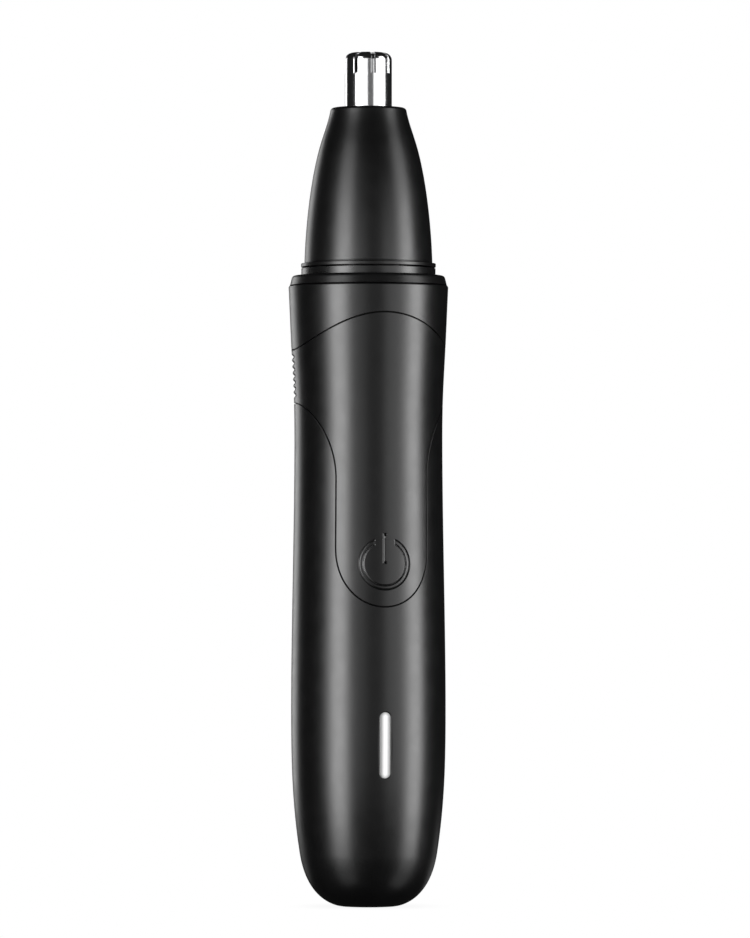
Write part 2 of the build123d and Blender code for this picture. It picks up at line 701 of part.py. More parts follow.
# ---- neck --------------------------------------------------------------------------------
def neck_mount():
    outline = [
        (0, NECK_BOTTOM),
        (NECK_SKIRT_R, NECK_BOTTOM),
        (NECK_SKIRT_R, MOUTH_FLOOR),
        (NECK_FLANGE_R, MOUTH_FLOOR),
        (NECK_FLANGE_R, BODY_TOP - 0.1),
        (COLLAR_SEAT_R, BODY_TOP - 0.1),
        (COLLAR_SEAT_R, COLLAR_TOP),
        (NECK_R, COLLAR_TOP),
        (NECK_R, NECK_TOP),
        (PLUG_R, NECK_TOP),
        (PLUG_R, PLUG_TOP - 0.6),
        (PLUG_R - 0.6, PLUG_TOP),
        (0, PLUG_TOP),
    ]
    neck = turned_polygon(outline)
    neck -= rod(BOSS_R + 0.05, NECK_BOTTOM, NECK_PLATE_TOP)
    neck -= rod(NECK_BORE_R, NECK_PLATE_TOP, BUSH_SEAT)
    neck -= rod(BUSH_SEAT_R, BUSH_SEAT, PLUG_TOP)
    neck -= tube(PLUG_R + 1, SEAL_OUTER_R - 2 * SEAL_WIRE_R, SEAL_Z - SEAL_WIRE_R, SEAL_Z + SEAL_WIRE_R)
    neck -= tube(
        NECK_FLANGE_R + 1,
        MOUTH_R - 2 * MOUTH_SEAL_WIRE_R,
        MOUTH_SEAL_Z - MOUTH_SEAL_WIRE_R,
        MOUTH_SEAL_Z + MOUTH_SEAL_WIRE_R,
    )
    for x in (-SCREW_X, SCREW_X):
        neck -= rod(SCREW_HOLE_R, NECK_BOTTOM, NECK_PLATE_TOP, x=x)
        neck -= rod(SCREW_ACCESS_R, NECK_PLATE_TOP, PLUG_TOP, x=x)
    return neck


def neck_bush():
    return tube(BUSH_SEAT_R, STEM_R + STEM_CLEARANCE, BUSH_SEAT + 0.3, PLUG_TOP)


def shaft_seal():
    return tube(SHAFT_SEAL_R, STEM_R + 2 * STEM_CLEARANCE, PLUG_TOP, PLUG_TOP + SHAFT_SEAL_HEIGHT)


# ---- head --------------------------------------------------------------------------------
def head_cone():
    first_r, first_z = CONE_OUTLINE[0]
    last_r, last_z = CONE_OUTLINE[-1]
    rim_r = last_r - CONE_RIM_R
    flange = Polyline(
        (0, HEAD_BOTTOM),
        (HEAD_FLANGE_R, HEAD_BOTTOM),
        (HEAD_FLANGE_R, HEAD_FLANGE_TOP),
        (HEAD_GROOVE_R, HEAD_FLANGE_TOP),
        (HEAD_GROOVE_R, first_z - 0.1),
        (first_r, first_z),
    )
    flank = Spline(*CONE_OUTLINE, tangents=[(-0.03, 1), (-0.2, 1)])
    rim_middle = (rim_r + 0.7 * CONE_RIM_R, last_z + 0.7 * CONE_RIM_R)
    rim = ThreePointArc((last_r, last_z), rim_middle, (rim_r, HEAD_TOP))
    top = Polyline((rim_r, HEAD_TOP), (0, HEAD_TOP), (0, HEAD_BOTTOM))
    cone = turned(flange, flank, rim, top)
    hollow = [
        (0, HEAD_BOTTOM),
        (SOCKET_R, HEAD_BOTTOM),
        (SOCKET_R, SOCKET_TOP),
        (SEAT_R, SEAT_BOTTOM),
        (SEAT_R, SEAT_TOP),
        (0, SEAT_TOP),
    ]
    return cone - turned_polygon(hollow) - rod(CUTTER_R + CUTTER_SEAT_GAP, SEAT_TOP, HEAD_TOP)


def cutter_retainer():
    return tube(SEAT_R, RETAINER_BORE_R, CUTTER_BOTTOM - RETAINER_HEIGHT, CUTTER_BOTTOM)


# ---- every node --------------------------------------------------------------------------
NODES = {
    "body_shell": body_shell,
    "grip_band": grip_band,
    "power_button": power_button,
    "light_guide": light_guide,
    "collar_ring": collar_ring,
    "usb_shell": usb_shell,
    "usb_tongue": usb_tongue,
    "port_gasket": port_gasket,
    "port_board": port_board,
    "port_pins": port_pins,
    "main_board": main_board,
    "status_leds": status_leds,
    "switch_base": switch_base,
    "switch_plunger": switch_plunger,
    "control_chip": lambda: on_board(*CONTROL_CHIP),
    "charge_chip": lambda: on_board(*CHARGE_CHIP),
    "battery_cell": battery_cell,
    "battery_tab_positive": lambda: battery_tab(BATTERY_TOP + BATTERY_NUB_HEIGHT, TAB_LEG_END_TOP),
    "battery_tab_negative": lambda: battery_tab(BATTERY_BOTTOM - TAB_THICKNESS, TAB_LEG_END_BOTTOM),
    "battery_pad": battery_pad,
    "chassis": chassis,
    "motor_can": motor_can,
    "motor_end_cap": motor_end_cap,
    "motor_bushes": motor_bushes,
    "motor_magnets": motor_magnets,
    "motor_shaft": lambda: rod(SHAFT_R, SHAFT_BOTTOM, SHAFT_TOP),
    "armature_core": armature_core,
    "armature_windings": armature_windings,
    "commutator": lambda: tube(COMMUTATOR_R, SHAFT_R, *COMMUTATOR_SPAN),
    "motor_brushes": motor_brushes,
    "motor_terminals": motor_terminals,
    "motor_screws": motor_screws,
    "motor_leads": motor_leads,
    "drive_coupling": drive_coupling,
    "cutter_stem": cutter_stem,
    "blade_spring": blade_spring,
    "inner_blade": inner_blade,
    "neck_mount": neck_mount,
    "neck_bush": neck_bush,
    "neck_seal": lambda: ring_cord(SEAL_OUTER_R, SEAL_WIRE_R, SEAL_Z),
    "mouth_seal": lambda: ring_cord(MOUTH_R, MOUTH_SEAL_WIRE_R, MOUTH_SEAL_Z),
    "shaft_seal": shaft_seal,
    "head_cone": head_cone,
    "outer_cutter": outer_cutter,
    "cutter_retainer": cutter_retainer,
}

os.makedirs("parts", exist_ok=True)
for name, make in NODES.items():
    shape = make()
    if isinstance(shape, list):
        shape = Compound(shape)
    export_step(shape, f"parts/{name}.step")
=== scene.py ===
"""The looks of a cordless nose hair trimmer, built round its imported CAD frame.

Lengths are millimetres until they reach a mesh, which is in metres. The trimmer's axis is Z and its front is -Y.
An angle round the axis is 0 at the front and grows towards +X. The moulded skins are cut from flat patterns:
a pattern's s runs round the axis at PATTERN_R and its v runs up the profile.
"""

import json
import math

import bmesh
import bpy
import numpy as np
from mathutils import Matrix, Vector
from mathutils.geometry import delaunay_2d_cdt
from mathutils.kdtree import KDTree


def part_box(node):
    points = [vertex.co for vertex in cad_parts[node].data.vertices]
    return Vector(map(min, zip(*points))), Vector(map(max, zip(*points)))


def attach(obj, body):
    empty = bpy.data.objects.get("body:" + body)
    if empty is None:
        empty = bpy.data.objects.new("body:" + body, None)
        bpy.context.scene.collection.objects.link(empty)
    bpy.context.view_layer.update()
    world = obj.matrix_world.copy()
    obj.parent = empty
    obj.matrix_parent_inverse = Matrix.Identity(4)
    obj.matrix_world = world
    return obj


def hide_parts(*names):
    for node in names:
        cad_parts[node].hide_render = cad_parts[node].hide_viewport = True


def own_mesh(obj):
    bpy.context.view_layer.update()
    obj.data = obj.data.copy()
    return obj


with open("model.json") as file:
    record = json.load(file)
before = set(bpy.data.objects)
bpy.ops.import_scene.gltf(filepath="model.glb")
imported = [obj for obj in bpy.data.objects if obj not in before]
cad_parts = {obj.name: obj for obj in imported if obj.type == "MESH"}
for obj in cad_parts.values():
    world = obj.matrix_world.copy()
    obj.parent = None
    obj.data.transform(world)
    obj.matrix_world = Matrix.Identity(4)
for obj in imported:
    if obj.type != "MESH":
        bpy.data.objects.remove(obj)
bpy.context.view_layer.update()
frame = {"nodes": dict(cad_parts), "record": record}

MM = 0.001
TURN = 2 * math.pi


def low(node):
    return np.array(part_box(node)[0]) / MM


def high(node):
    return np.array(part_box(node)[1]) / MM


def middle(node):
    return (low(node) + high(node)) / 2


# ---------------------------------------------------------------- sizes: the body's profile
FOOT_HANDLES = [(4.0, 0.0), (5.3, 0.0), (9.8, 1.0), (10.95, 8.5)]
BODY_SIDE = [
    (10.95, 8.5),
    (11.99, 18.1),
    (12.31, 30.0),
    (12.09, 50.6),
    (11.8, 71.7),
    (11.9, 81.2),
    (12.29, 88.9),
    (12.73, 98.5),
]
SIDE_SLOPES = (0.155, 0.05)
BODY_LIP = 0.3
BODY_TOP = high("body_shell")[2]
MOUTH_R = 10.85
NECK_LIFT = 5.8
MOUTH_FLOOR = low("neck_mount")[2] + NECK_LIFT
CAVITY_R = 9.6
CAVITY_FLOOR = 2.4
CAVITY_FLOOR_R = 6.2
CAVITY_STRAIGHT = (9.0, 90.0)  # where the hollow has parallel sides
CAVITY_FRONT = (32, 60)  # degrees from the front: holes run straight back up to the first
PATTERN_R = 11.8
PATTERN_HALF = math.pi * PATTERN_R
COLUMNS = 192
FOOT_STEPS = 200
FOOT_DISC_R = 6.0

# the grip band and the seam round it
BAND_THICKNESS = 1.0
BAND_BACK_TOP = 88.5
BAND_FRONT_RISE = 5.7
BAND_BACK_BOTTOM = 80.0
TONGUE_HALF = 7.88
TONGUE_SHOULDER = 68.0
TONGUE_ARC = 57.0
TONGUE_BOTTOM = 47.7
ARC_HANDLES = (4.3, 51.9)
SWEEP_HANDLES = [(TONGUE_HALF, 73.5), (11.5, BAND_BACK_BOTTOM - 0.1)]
SWEEP_END = 18.46
SEAM_STEP = 0.45
RECESS = 1.02
# distance from the seam, depth
BAND_EDGE = [(0.19, 0.0), (0.14, 0.006), (0.105, 0.022), (0.08, 0.06), (0.07, 0.3), (0.02, 0.32)]
SHELL_EDGE = BAND_EDGE + [(0.005, RECESS)]
RIB_PITCH = 1.02
RIB_COUNT = 8
RIB_FIRST_VALLEY = 81.32
RIB_DEPTH = 0.28
RIB_FADE = (84.0, 96.0)  # degrees from the front

# the power button and the status light
BUTTON_Z = middle("power_button")[2]
BUTTON_R = 4.07
BUTTON_HOLE_R = 4.085
BUTTON_POCKET_R = 5.15
BUTTON_POCKET_Y = 9.2
BUTTON_STEP = 0.07
BUTTON_FLANGE_R = 4.95
BUTTON_FLANGE_THICKNESS = 0.7
NUB_R = 1.2
NUB_HEIGHT = 0.34
NEAR_BUTTON = 5.4
RING_OUTER = (BUTTON_R + BUTTON_HOLE_R) / 2
RING_INNER = 3.43
RING_OPENING = 1.68
GROOVE_HALF = 0.17
GROOVE_DEPTH = 0.14
POWER_BAR = (-0.06, 4.84)  # bottom, top
POWER_BAR_END = 0.1
POWER_BAR_SECTION = [  # across, depth
    (-0.45, 0.0),
    (-0.03, 0.1),
    (0.0, 0.14),
    (0.07, 0.14),
    (0.13, 0.04),
    (0.45, 0.0),
]
SLIT_X = 0.07
SLIT_DOT_R = 0.25
SLIT_DOT_DEPTH = 0.5
SLIT_DOT_SLOPE = 1.3
SYMBOL_END_DEPTH = 0.3  # share of the groove's depth
LIGHT_Z = 25.9
LIGHT_LENGTH = 10.4
LIGHT_HALF = 0.85
LIGHT_GAP = 0.03
LIGHT_FLANGE = 0.65
LIGHT_FLANGE_THICKNESS = 0.76
LIGHT_SPREAD = 0.55  # how far from its middle the light has faded to about a third
LIGHT_FADE = 0.65
PORT_GAP = 0.12


def bezier(a, b, c, d, count):
    t = np.linspace(0, 1, count)[:, None]
    a, b, c, d = (np.array(p, float) for p in (a, b, c, d))
    return a * (1 - t) ** 3 + 3 * b * t * (1 - t) ** 2 + 3 * c * t**2 * (1 - t) + d * t**3


def spline(points, slopes):
    """Rows of (radius, height) along the smooth curve through points, with the slopes given at its ends."""
    r, z = np.array(points).T
    h, m, n = np.diff(z), np.diff(r) / np.diff(z), len(z)
    a, b = np.eye(n), np.zeros(n)
    b[0], b[-1] = slopes
    for i in range(1, n - 1):
        a[i, i - 1 : i + 2] = h[i], 2 * (h[i - 1] + h[i]), h[i - 1]
        b[i] = 3 * (h[i] * m[i - 1] + h[i - 1] * m[i])
    k = np.linalg.solve(a, b)
    at = np.linspace(z[0], z[-1], 900)
    i = np.clip(np.searchsorted(z, at) - 1, 0, n - 2)
    t = (at - z[i]) / h[i]
    value = r[i] * (1 + 2 * t) * (1 - t) ** 2 + r[i + 1] * t**2 * (3 - 2 * t)
    value += h[i] * (k[i] * t * (1 - t) ** 2 - k[i + 1] * t**2 * (1 - t))
    return np.stack([value, at], axis=1)


def body_profile():
    """Rows of (v, radius, height, slope angle) up the outside of the body. Above the foot, v is the height."""
    foot, side = bezier(*FOOT_HANDLES, FOOT_STEPS), spline(BODY_SIDE, SIDE_SLOPES)
    line = np.concatenate([foot[:-1], side])
    steps = np.linalg.norm(np.diff(foot, axis=0), axis=1)
    foot_v = side[0, 1] - steps[::-1].cumsum()[::-1]
    v = np.concatenate([foot_v, side[:, 1]])
    d = np.gradient(line, axis=0)
    return np.column_stack([v, line, np.arctan2(d[:, 0], d[:, 1])])


PROFILE = body_profile()
FOOT_PROFILE = PROFILE[:FOOT_STEPS]
FOOT_V = float(np.interp(FOOT_DISC_R, FOOT_PROFILE[:, 1], FOOT_PROFILE[:, 0]))
SIDE_TOP_V = float(PROFILE[-1, 0])


def body_radius(z):
    return np.interp(z, PROFILE[:, 2], PROFILE[:, 1])


def on_body(flat, depth=0.0):
    """Lays pattern points (s, v) on the body's outside, sunk by depth along the surface's normal."""
    phi, v = flat[:, 0] / PATTERN_R, flat[:, 1]
    r, z, tilt = (np.interp(v, PROFILE[:, 0], PROFILE[:, i]) for i in (1, 2, 3))
    r, z = r - depth * np.cos(tilt), z + depth * np.sin(tilt)
    return np.stack([r * np.sin(phi), -r * np.cos(phi), z], axis=1)


def in_cavity(flat):
    """Lays pattern points on the body's hollow. Near the front they keep their x, so that holes run straight back."""
    phi, v = flat[:, 0] / PATTERN_R, flat[:, 1]
    r = np.interp(v, [FOOT_V, CAVITY_STRAIGHT[0]], [CAVITY_FLOOR_R, CAVITY_R])
    z = np.interp(v, [FOOT_V, *CAVITY_STRAIGHT, SIDE_TOP_V], [CAVITY_FLOOR, *CAVITY_STRAIGHT, MOUTH_FLOOR])
    outer = np.interp(v, PROFILE[:, 0], PROFILE[:, 1])
    kept_x = np.arcsin(np.clip(outer * np.sin(phi) / r, -0.95, 0.95))
    away = smooth(*np.radians(CAVITY_FRONT), np.abs(phi))
    phi = np.where(away < 1, kept_x + away * (phi - kept_x), phi)
    x, y = r * np.sin(phi), -r * np.cos(phi)
    pocket = (np.hypot(x, z - BUTTON_Z) < BUTTON_POCKET_R + 0.02) & (y < 0)
    return np.stack([x, np.where(pocket, np.minimum(y, -BUTTON_POCKET_Y), y), z], axis=1)


def smooth(start, end, x):
    t = np.clip((x - start) / (end - start), 0, 1)
    return t * t * (3 - 2 * t)


# ---------------------------------------------------------------- flat patterns and the skins cut from them
def inside(loop, points):
    """True for the points that lie inside a closed flat loop."""
    hits = np.zeros(len(points), bool)
    for (ax, ay), (bx, by) in zip(loop, np.roll(loop, -1, axis=0)):
        if ay != by:
            crosses = (ay > points[:, 1]) != (by > points[:, 1])
            hits ^= crosses & (points[:, 0] < (bx - ax) * (points[:, 1] - ay) / (by - ay) + ax)
    return hits


def even(line, step):
    """The same line with its points spaced evenly."""
    run = np.concatenate([[0], np.linalg.norm(np.diff(line, axis=0), axis=1).cumsum()])
    at = np.linspace(0, run[-1], max(2, round(run[-1] / step) + 1))
    return np.stack([np.interp(at, run, line[:, i]) for i in (0, 1)], axis=1)


def offset(line, distance):
    """The line moved to its left by a distance."""
    t = np.gradient(line, axis=0)
    t /= np.linalg.norm(t, axis=1)[:, None]
    return line + distance * np.stack([-t[:, 1], t[:, 0]], axis=1)


def ring(radius, count, half_length=0.0, start=0.0):
    """A circle, or with a half length a stadium that stands upright, counter-clockwise."""
    shift = 0.5 if half_length else 0.0
    a = start + TURN * (np.arange(count) + shift) / count
    return np.stack([radius * np.cos(a), radius * np.sin(a) + np.sign(np.sin(a)) * half_length], axis=1)


def grid(xs, ys):
    return np.stack(np.meshgrid(xs, ys), axis=-1).reshape(-1, 2)


def flat_mesh(lines, loose, keep, clearance):
    """Triangulates lines and loose points. A line is (points, depth, closed). Points keep their line's depth."""
    fixed = np.concatenate([line for line, _, _ in lines])
    depths = np.concatenate([np.full(len(line), depth, float) for line, depth, _ in lines])
    edges, first = [], 0
    for line, _, closed in lines:
        last = first + len(line)
        edges += [(i, i + 1) for i in range(first, last - 1)] + ([(last - 1, first)] if closed else [])
        first = last
    tree = KDTree(len(fixed))
    for i, (x, y) in enumerate(fixed):
        tree.insert((x, y, 0), i)
    tree.balance()
    loose = np.array([p for p in loose if tree.find((p[0], p[1], 0))[2] > clearance])
    points = [Vector(p) for p in np.concatenate([fixed, loose])]
    made, _, triangles, sources, _, _ = delaunay_2d_cdt(points, edges, [], 0, 1e-6, True)
    flat, triangles = np.array([p[:] for p in made]), np.array(triangles)
    sunk = np.full(len(flat), np.nan)
    for i, origins in enumerate(sources):
        known = [depths[o] for o in origins if o < len(fixed)]
        if known:
            sunk[i] = known[0]
    return flat, sunk, triangles[keep(flat[triangles].mean(axis=1))]


def skin(flat, triangles, outer, inner, rims=(), left_open=None):
    """Joins an outer and an inner copy of a pattern into a closed wall. A rim is (where, rows): the pattern's edge
    points that pass where are joined through rows of points, each row made from the pattern points given to it."""
    count = len(flat)
    points = [outer, inner]
    faces = triangles.tolist() + (triangles[:, ::-1] + count).tolist()
    sides = np.concatenate([triangles[:, [0, 1]], triangles[:, [1, 2]], triangles[:, [2, 0]]])
    known = {(a, b) for a, b in sides.tolist()}
    edges = [(a, b) for a, b in known if (b, a) not in known]
    edges.sort()
    if left_open is not None:
        shut = left_open(flat)
        edges = [(a, b) for a, b in edges if not (shut[a] and shut[b])]
    total = 2 * count
    for where, rows in list(rims) + [(lambda p: np.ones(len(p), bool), [])]:
        chosen = where(flat)
        here = [(a, b) for a, b in edges if chosen[a] and chosen[b]]
        edges = [e for e in edges if not (chosen[e[0]] and chosen[e[1]])]
        used = sorted({i for e in here for i in e})
        place = {v: i for i, v in enumerate(used)}
        levels = [lambda v: v]
        for row in rows:
            points.append(row(flat[used]))
            levels.append(lambda v, start=total: start + place[v])
            total += len(used)
        levels.append(lambda v: v + count)
        for near, far in zip(levels, levels[1:]):
            faces += [(near(b), near(a), far(a), far(b)) for a, b in here]
    return np.concatenate(points), faces


def stack(rings, close=True):
    """Walls between rings of points that have the same count, each counter-clockwise seen from the first's front."""
    count = len(rings[0])
    faces = []
    for level in range(len(rings) - 1):
        for i in range(count):
            j = (i + 1) % count
            a, b = level * count, (level + 1) * count
            faces.append((a + j, a + i, b + i, b + j))
    if close:
        faces.append(tuple(range((len(rings) - 1) * count, len(rings) * count))[::-1])
    return np.concatenate(rings), faces


def add(name, mesh, material, body, node):
    """Puts a finished mesh in the scene as one piece: it rides on a body and replaces a CAD node."""
    obj = bpy.data.objects.new(name, mesh)
    bpy.context.scene.collection.objects.link(obj)
    mesh.materials.append(MATERIALS[material])
    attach(obj, body)
    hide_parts(node)


def piece(name, parts, material, body, node, normal, crease=35):
    """Makes one object from parts of (points, faces), welds them, and shades it smooth. normal(points) gives the true
    surface's normal, used at corners whose face agrees with it."""
    mesh = bpy.data.meshes.new(name)
    points, faces, first = [], [], 0
    for some, its_faces in parts:
        points.append(some)
        faces += [tuple(int(i) + first for i in face) for face in its_faces]
        first += len(some)
    mesh.from_pydata((np.concatenate(points) * MM).tolist(), [], faces)
    bm = bmesh.new()
    bm.from_mesh(mesh)
    bmesh.ops.remove_doubles(bm, verts=bm.verts, dist=4e-7)
    bmesh.ops.dissolve_degenerate(bm, edges=bm.edges, dist=1e-8)
    bmesh.ops.delete(bm, geom=[v for v in bm.verts if not v.link_faces], context="VERTS")
    bm.to_mesh(mesh)
    bm.free()
    mesh.polygons.foreach_set("use_smooth", [True] * len(mesh.polygons))
    mesh.set_sharp_from_angle(angle=math.radians(crease))
    true_normals(mesh, normal)
    add(name, mesh, material, body, node)


def true_normals(mesh, normal, agree=8):
    """Gives corners the true surface's normal, where the face is within a few degrees of it."""
    points = np.empty(len(mesh.vertices) * 3)
    mesh.vertices.foreach_get("co", points)
    wanted = normal(points.reshape(-1, 3) / MM)
    faces = np.empty(len(mesh.polygons) * 3)
    mesh.polygons.foreach_get("normal", faces)
    owners = np.empty(len(mesh.loops), int)
    for p in mesh.polygons:
        owners[p.loop_start : p.loop_start + p.loop_total] = p.index
    corners = np.empty(len(mesh.loops), int)
    mesh.loops.foreach_get("vertex_index", corners)
    per_corner = wanted[corners]
    agreement = (faces.reshape(-1, 3)[owners] * per_corner).sum(axis=1)
    per_corner[agreement < math.cos(math.radians(agree))] = 0
    mesh.normals_split_custom_set(per_corner.tolist())


def body_normal(points):
    """The outward normal of the body's profile at points."""
    x, y, z = points.T
    r = np.hypot(x, y)
    by_height = np.interp(z, PROFILE[:, 2], PROFILE[:, 3])
    by_radius = np.interp(r, FOOT_PROFILE[:, 1], FOOT_PROFILE[:, 3])
    tilt = np.where(z < FOOT_HANDLES[3][1], by_radius, by_height)
    tilt = np.where(r < FOOT_HANDLES[0][0], math.pi / 2, tilt)
    out = np.maximum(r, 1e-6)
    return np.stack([np.cos(tilt) * x / out, np.cos(tilt) * y / out, -np.sin(tilt)], axis=1)


# ---------------------------------------------------------------- the seam between the body and the grip band
def upper_seam():
    s = np.linspace(-PATTERN_HALF, PATTERN_HALF, 400)
    return np.stack([s, BAND_BACK_TOP + BAND_FRONT_RISE * np.cos(s / PATTERN_R) ** 2], axis=1)


def lower_seam():
    """Level round the back, then down in front as a round-ended tongue."""
    across, up = ARC_HANDLES
    handles = (across, TONGUE_BOTTOM), (TONGUE_HALF, up)
    arc = bezier((0, TONGUE_BOTTOM), *handles, (TONGUE_HALF, TONGUE_ARC), 40)
    sweep = bezier((TONGUE_HALF, TONGUE_SHOULDER), *SWEEP_HANDLES, (SWEEP_END, BAND_BACK_BOTTOM), 60)
    right = np.concatenate([arc, sweep, [(PATTERN_HALF, BAND_BACK_BOTTOM)]])
    return np.concatenate([right[:0:-1] * (-1, 1), right])


def from_front(points, radius):
    """Front view (x, z) to pattern (s, v), on a surface of the given radius."""
    return np.stack([PATTERN_R * np.arcsin(points[:, 0] / radius), points[:, 1]], axis=1)


UPPER = even(upper_seam(), SEAM_STEP)
LOWER = even(lower_seam(), SEAM_STEP)


def band_outline(distance):
    """The grip band's outline as one closed loop, set back from the seam by a distance."""
    return np.concatenate([offset(LOWER, distance), offset(UPPER, -distance)[::-1]])


def on_wrap(flat):
    return np.abs(np.abs(flat[:, 0]) - PATTERN_HALF) < 1e-3


def turned_row(r, z):
    """A rim's row: the same angles, at a fixed radius and height."""

    def row(flat):
        phi = flat[:, 0] / PATTERN_R
        return np.stack([r * np.sin(phi), -r * np.cos(phi), np.full(len(flat), z)], axis=1)

    return row


# ---------------------------------------------------------------- materials
class Finish:
    """A procedural material, built up from nodes."""

    def __init__(self, name, color, roughness, metallic=0.0):
        self.material = bpy.data.materials.new(name)
        self.material.use_nodes = True
        self.nodes, self.links = self.material.node_tree.nodes, self.material.node_tree.links
        self.shader = self.nodes["Principled BSDF"]
        self.shader.inputs["Base Color"].default_value = (*color, 1)
        self.shader.inputs["Roughness"].default_value = roughness
        self.shader.inputs["Metallic"].default_value = metallic
        self.place = self.nodes.new("ShaderNodeTexCoord").outputs["Object"]
        self.height = None

    def node(self, kind, **inputs):
        made = self.nodes.new("ShaderNode" + kind)
        for key, value in inputs.items():
            slot = made.inputs[key.replace("_", " ")]
            if isinstance(value, bpy.types.NodeSocket):
                self.links.new(value, slot)
            else:
                slot.default_value = value
        return made

    def noise(self, size_mm, stretch=(1, 1, 1), detail=3.0):
        """Noise whose features are about size_mm across."""
        mapping = self.node("Mapping", Vector=self.place, Scale=stretch)
        made = self.node("TexNoise", Vector=mapping.outputs[0], Scale=1 / (size_mm * MM), Detail=detail)
        return made.outputs["Fac"]

    def cells(self, size_mm):
        return self.node("TexVoronoi", Vector=self.place, Scale=1 / (size_mm * MM)).outputs["Distance"]

    def spread(self, value, low_end, high_end, socket):
        """Runs an input between two values as a texture goes from 0.3 to 0.7."""
        made = self.node("MapRange", Value=value, From_Min=0.3, From_Max=0.7, To_Min=low_end, To_Max=high_end)
        self.links.new(made.outputs[0], self.shader.inputs[socket])

    def tint(self, value, dark, light, start=0.3, end=0.7):
        """Runs the base colour between two colours."""
        ramp = self.nodes.new("ShaderNodeValToRGB")
        ramp.color_ramp.elements[0].position, ramp.color_ramp.elements[1].position = start, end
        ramp.color_ramp.elements[0].color, ramp.color_ramp.elements[1].color = (*dark, 1), (*light, 1)
        self.links.new(value, ramp.inputs[0])
        self.links.new(ramp.outputs[0], self.shader.inputs["Base Color"])

    def calculate(self, operation, a, b=0.0):
        made = self.node("Math")
        made.operation = operation
        for socket, value in zip(made.inputs, (a, b)):
            if isinstance(value, bpy.types.NodeSocket):
                self.links.new(value, socket)
            else:
                socket.default_value = value
        return made.outputs[0]

    def bump(self, value, depth_mm, strength=1.0):
        """Adds to the surface's bump, each layer on top of the last."""
        made = self.node("Bump", Height=value, Distance=depth_mm * MM, Strength=strength)
        if self.height:
            self.links.new(self.height, made.inputs["Normal"])
        self.height = made.outputs[0]
        self.links.new(self.height, self.shader.inputs["Normal"])

    def round_edges(self, radius_mm):
        """Softens sharp edges where light catches them. Comes before any bump."""
        self.height = self.node("Bevel", Radius=radius_mm * MM).outputs[0]
        self.links.new(self.height, self.shader.inputs["Normal"])


def moulded(name, tone, roughness, grain_mm=0.09, grain_depth=0.0012, edges=0.0, coat=0.0):
    """Satin moulded plastic: a fine spark-eroded grain over a slow, faint unevenness."""
    f = Finish(name, tone, roughness)
    if edges:
        f.round_edges(edges)
    f.tint(f.noise(7.0), [c * 0.92 for c in tone], [c * 1.08 for c in tone])
    f.spread(f.noise(2.4, detail=2), roughness - 0.02, roughness + 0.02, "Roughness")
    f.bump(f.noise(grain_mm, detail=2), grain_depth, 0.6)
    f.shader.inputs["Coat Weight"].default_value = coat
    f.shader.inputs["Coat Roughness"].default_value = 0.25
    return f


def soft_touch(name, tone, roughness):
    """Soft-touch skin or rubber: matter than plastic, with a dusting of sheen and a finer grain."""
    f = moulded(name, tone, roughness, grain_mm=0.06, grain_depth=0.001)
    f.shader.inputs["Sheen Weight"].default_value = 0.004
    f.shader.inputs["Sheen Roughness"].default_value = 0.5
    return f


def metal(name, color, roughness, line_mm=0.05, stretch=(1, 1, 0.05), edges=0.0):
    """Drawn or turned metal: fine lines along the stretch, with roughness that follows them."""
    f = Finish(name, color, roughness, 1.0)
    if edges:
        f.round_edges(edges)
    lines = f.noise(line_mm, stretch, detail=4)
    f.tint(f.noise(1.7), [c * 0.93 for c in color], color)
    f.spread(lines, max(roughness - 0.05, 0.03), roughness + 0.06, "Roughness")
    f.bump(lines, 0.0006, 0.4)
    return f


def board(name):
    """Green solder mask with buried copper traces and a faint weave."""
    f = Finish(name, (0.01, 0.09, 0.03), 0.35)
    brick = f.node("TexBrick", Vector=f.place, Scale=1 / (1.1 * MM), Mortar_Size=0.06)
    f.tint(brick.outputs["Fac"], (0.008, 0.075, 0.025), (0.03, 0.16, 0.05), 0.0, 1.0)
    f.bump(brick.outputs["Fac"], 0.02)
    f.spread(f.noise(0.3), 0.28, 0.42, "Roughness")
    f.shader.inputs["Coat Weight"].default_value = 0.4
    return f


def foam(name):
    """Open-celled grey foam."""
    f = Finish(name, (0.12, 0.12, 0.13), 0.95)
    # the pores are painted darker towards their middles, where the bump sinks them: painted shade in the pits
    f.tint(f.cells(0.25), (0.04, 0.04, 0.045), (0.16, 0.16, 0.17), 0.0, 0.8)
    f.bump(f.cells(0.25), 0.12)
    return f


def shrink_wrap(name):
    """The cell's printed film: plain blue, glossy, with a few soft wrinkles round it."""
    f = Finish(name, (0.02, 0.07, 0.25), 0.25)
    wrinkles = f.noise(3.0, (1, 1, 2.5))
    # the wrinkles' hollows are painted darker and their crests lighter, following the bump: painted shade and painted
    # highlight
    f.tint(wrinkles, (0.016, 0.06, 0.22), (0.03, 0.09, 0.3))
    f.bump(wrinkles, 0.08)
    f.spread(f.noise(0.5), 0.18, 0.32, "Roughness")
    f.shader.inputs["Coat Weight"].default_value = 0.6
    return f


def enamelled(name, tone):
    """Wound copper wire, seen as fine turns under a glossy enamel."""
    f = Finish(name, tone, 0.3, 0.9)
    turns = f.node("TexWave", Vector=f.place, Scale=1 / (0.9 * MM), Distortion=0.4).outputs["Fac"]
    # the grooves between the turns, where the bump sinks, are painted darker: painted shade between the wires
    f.tint(turns, [c * 0.45 for c in tone], tone, 0.1, 0.8)
    f.bump(turns, 0.06)
    f.spread(f.noise(0.4), 0.25, 0.4, "Roughness")
    return f


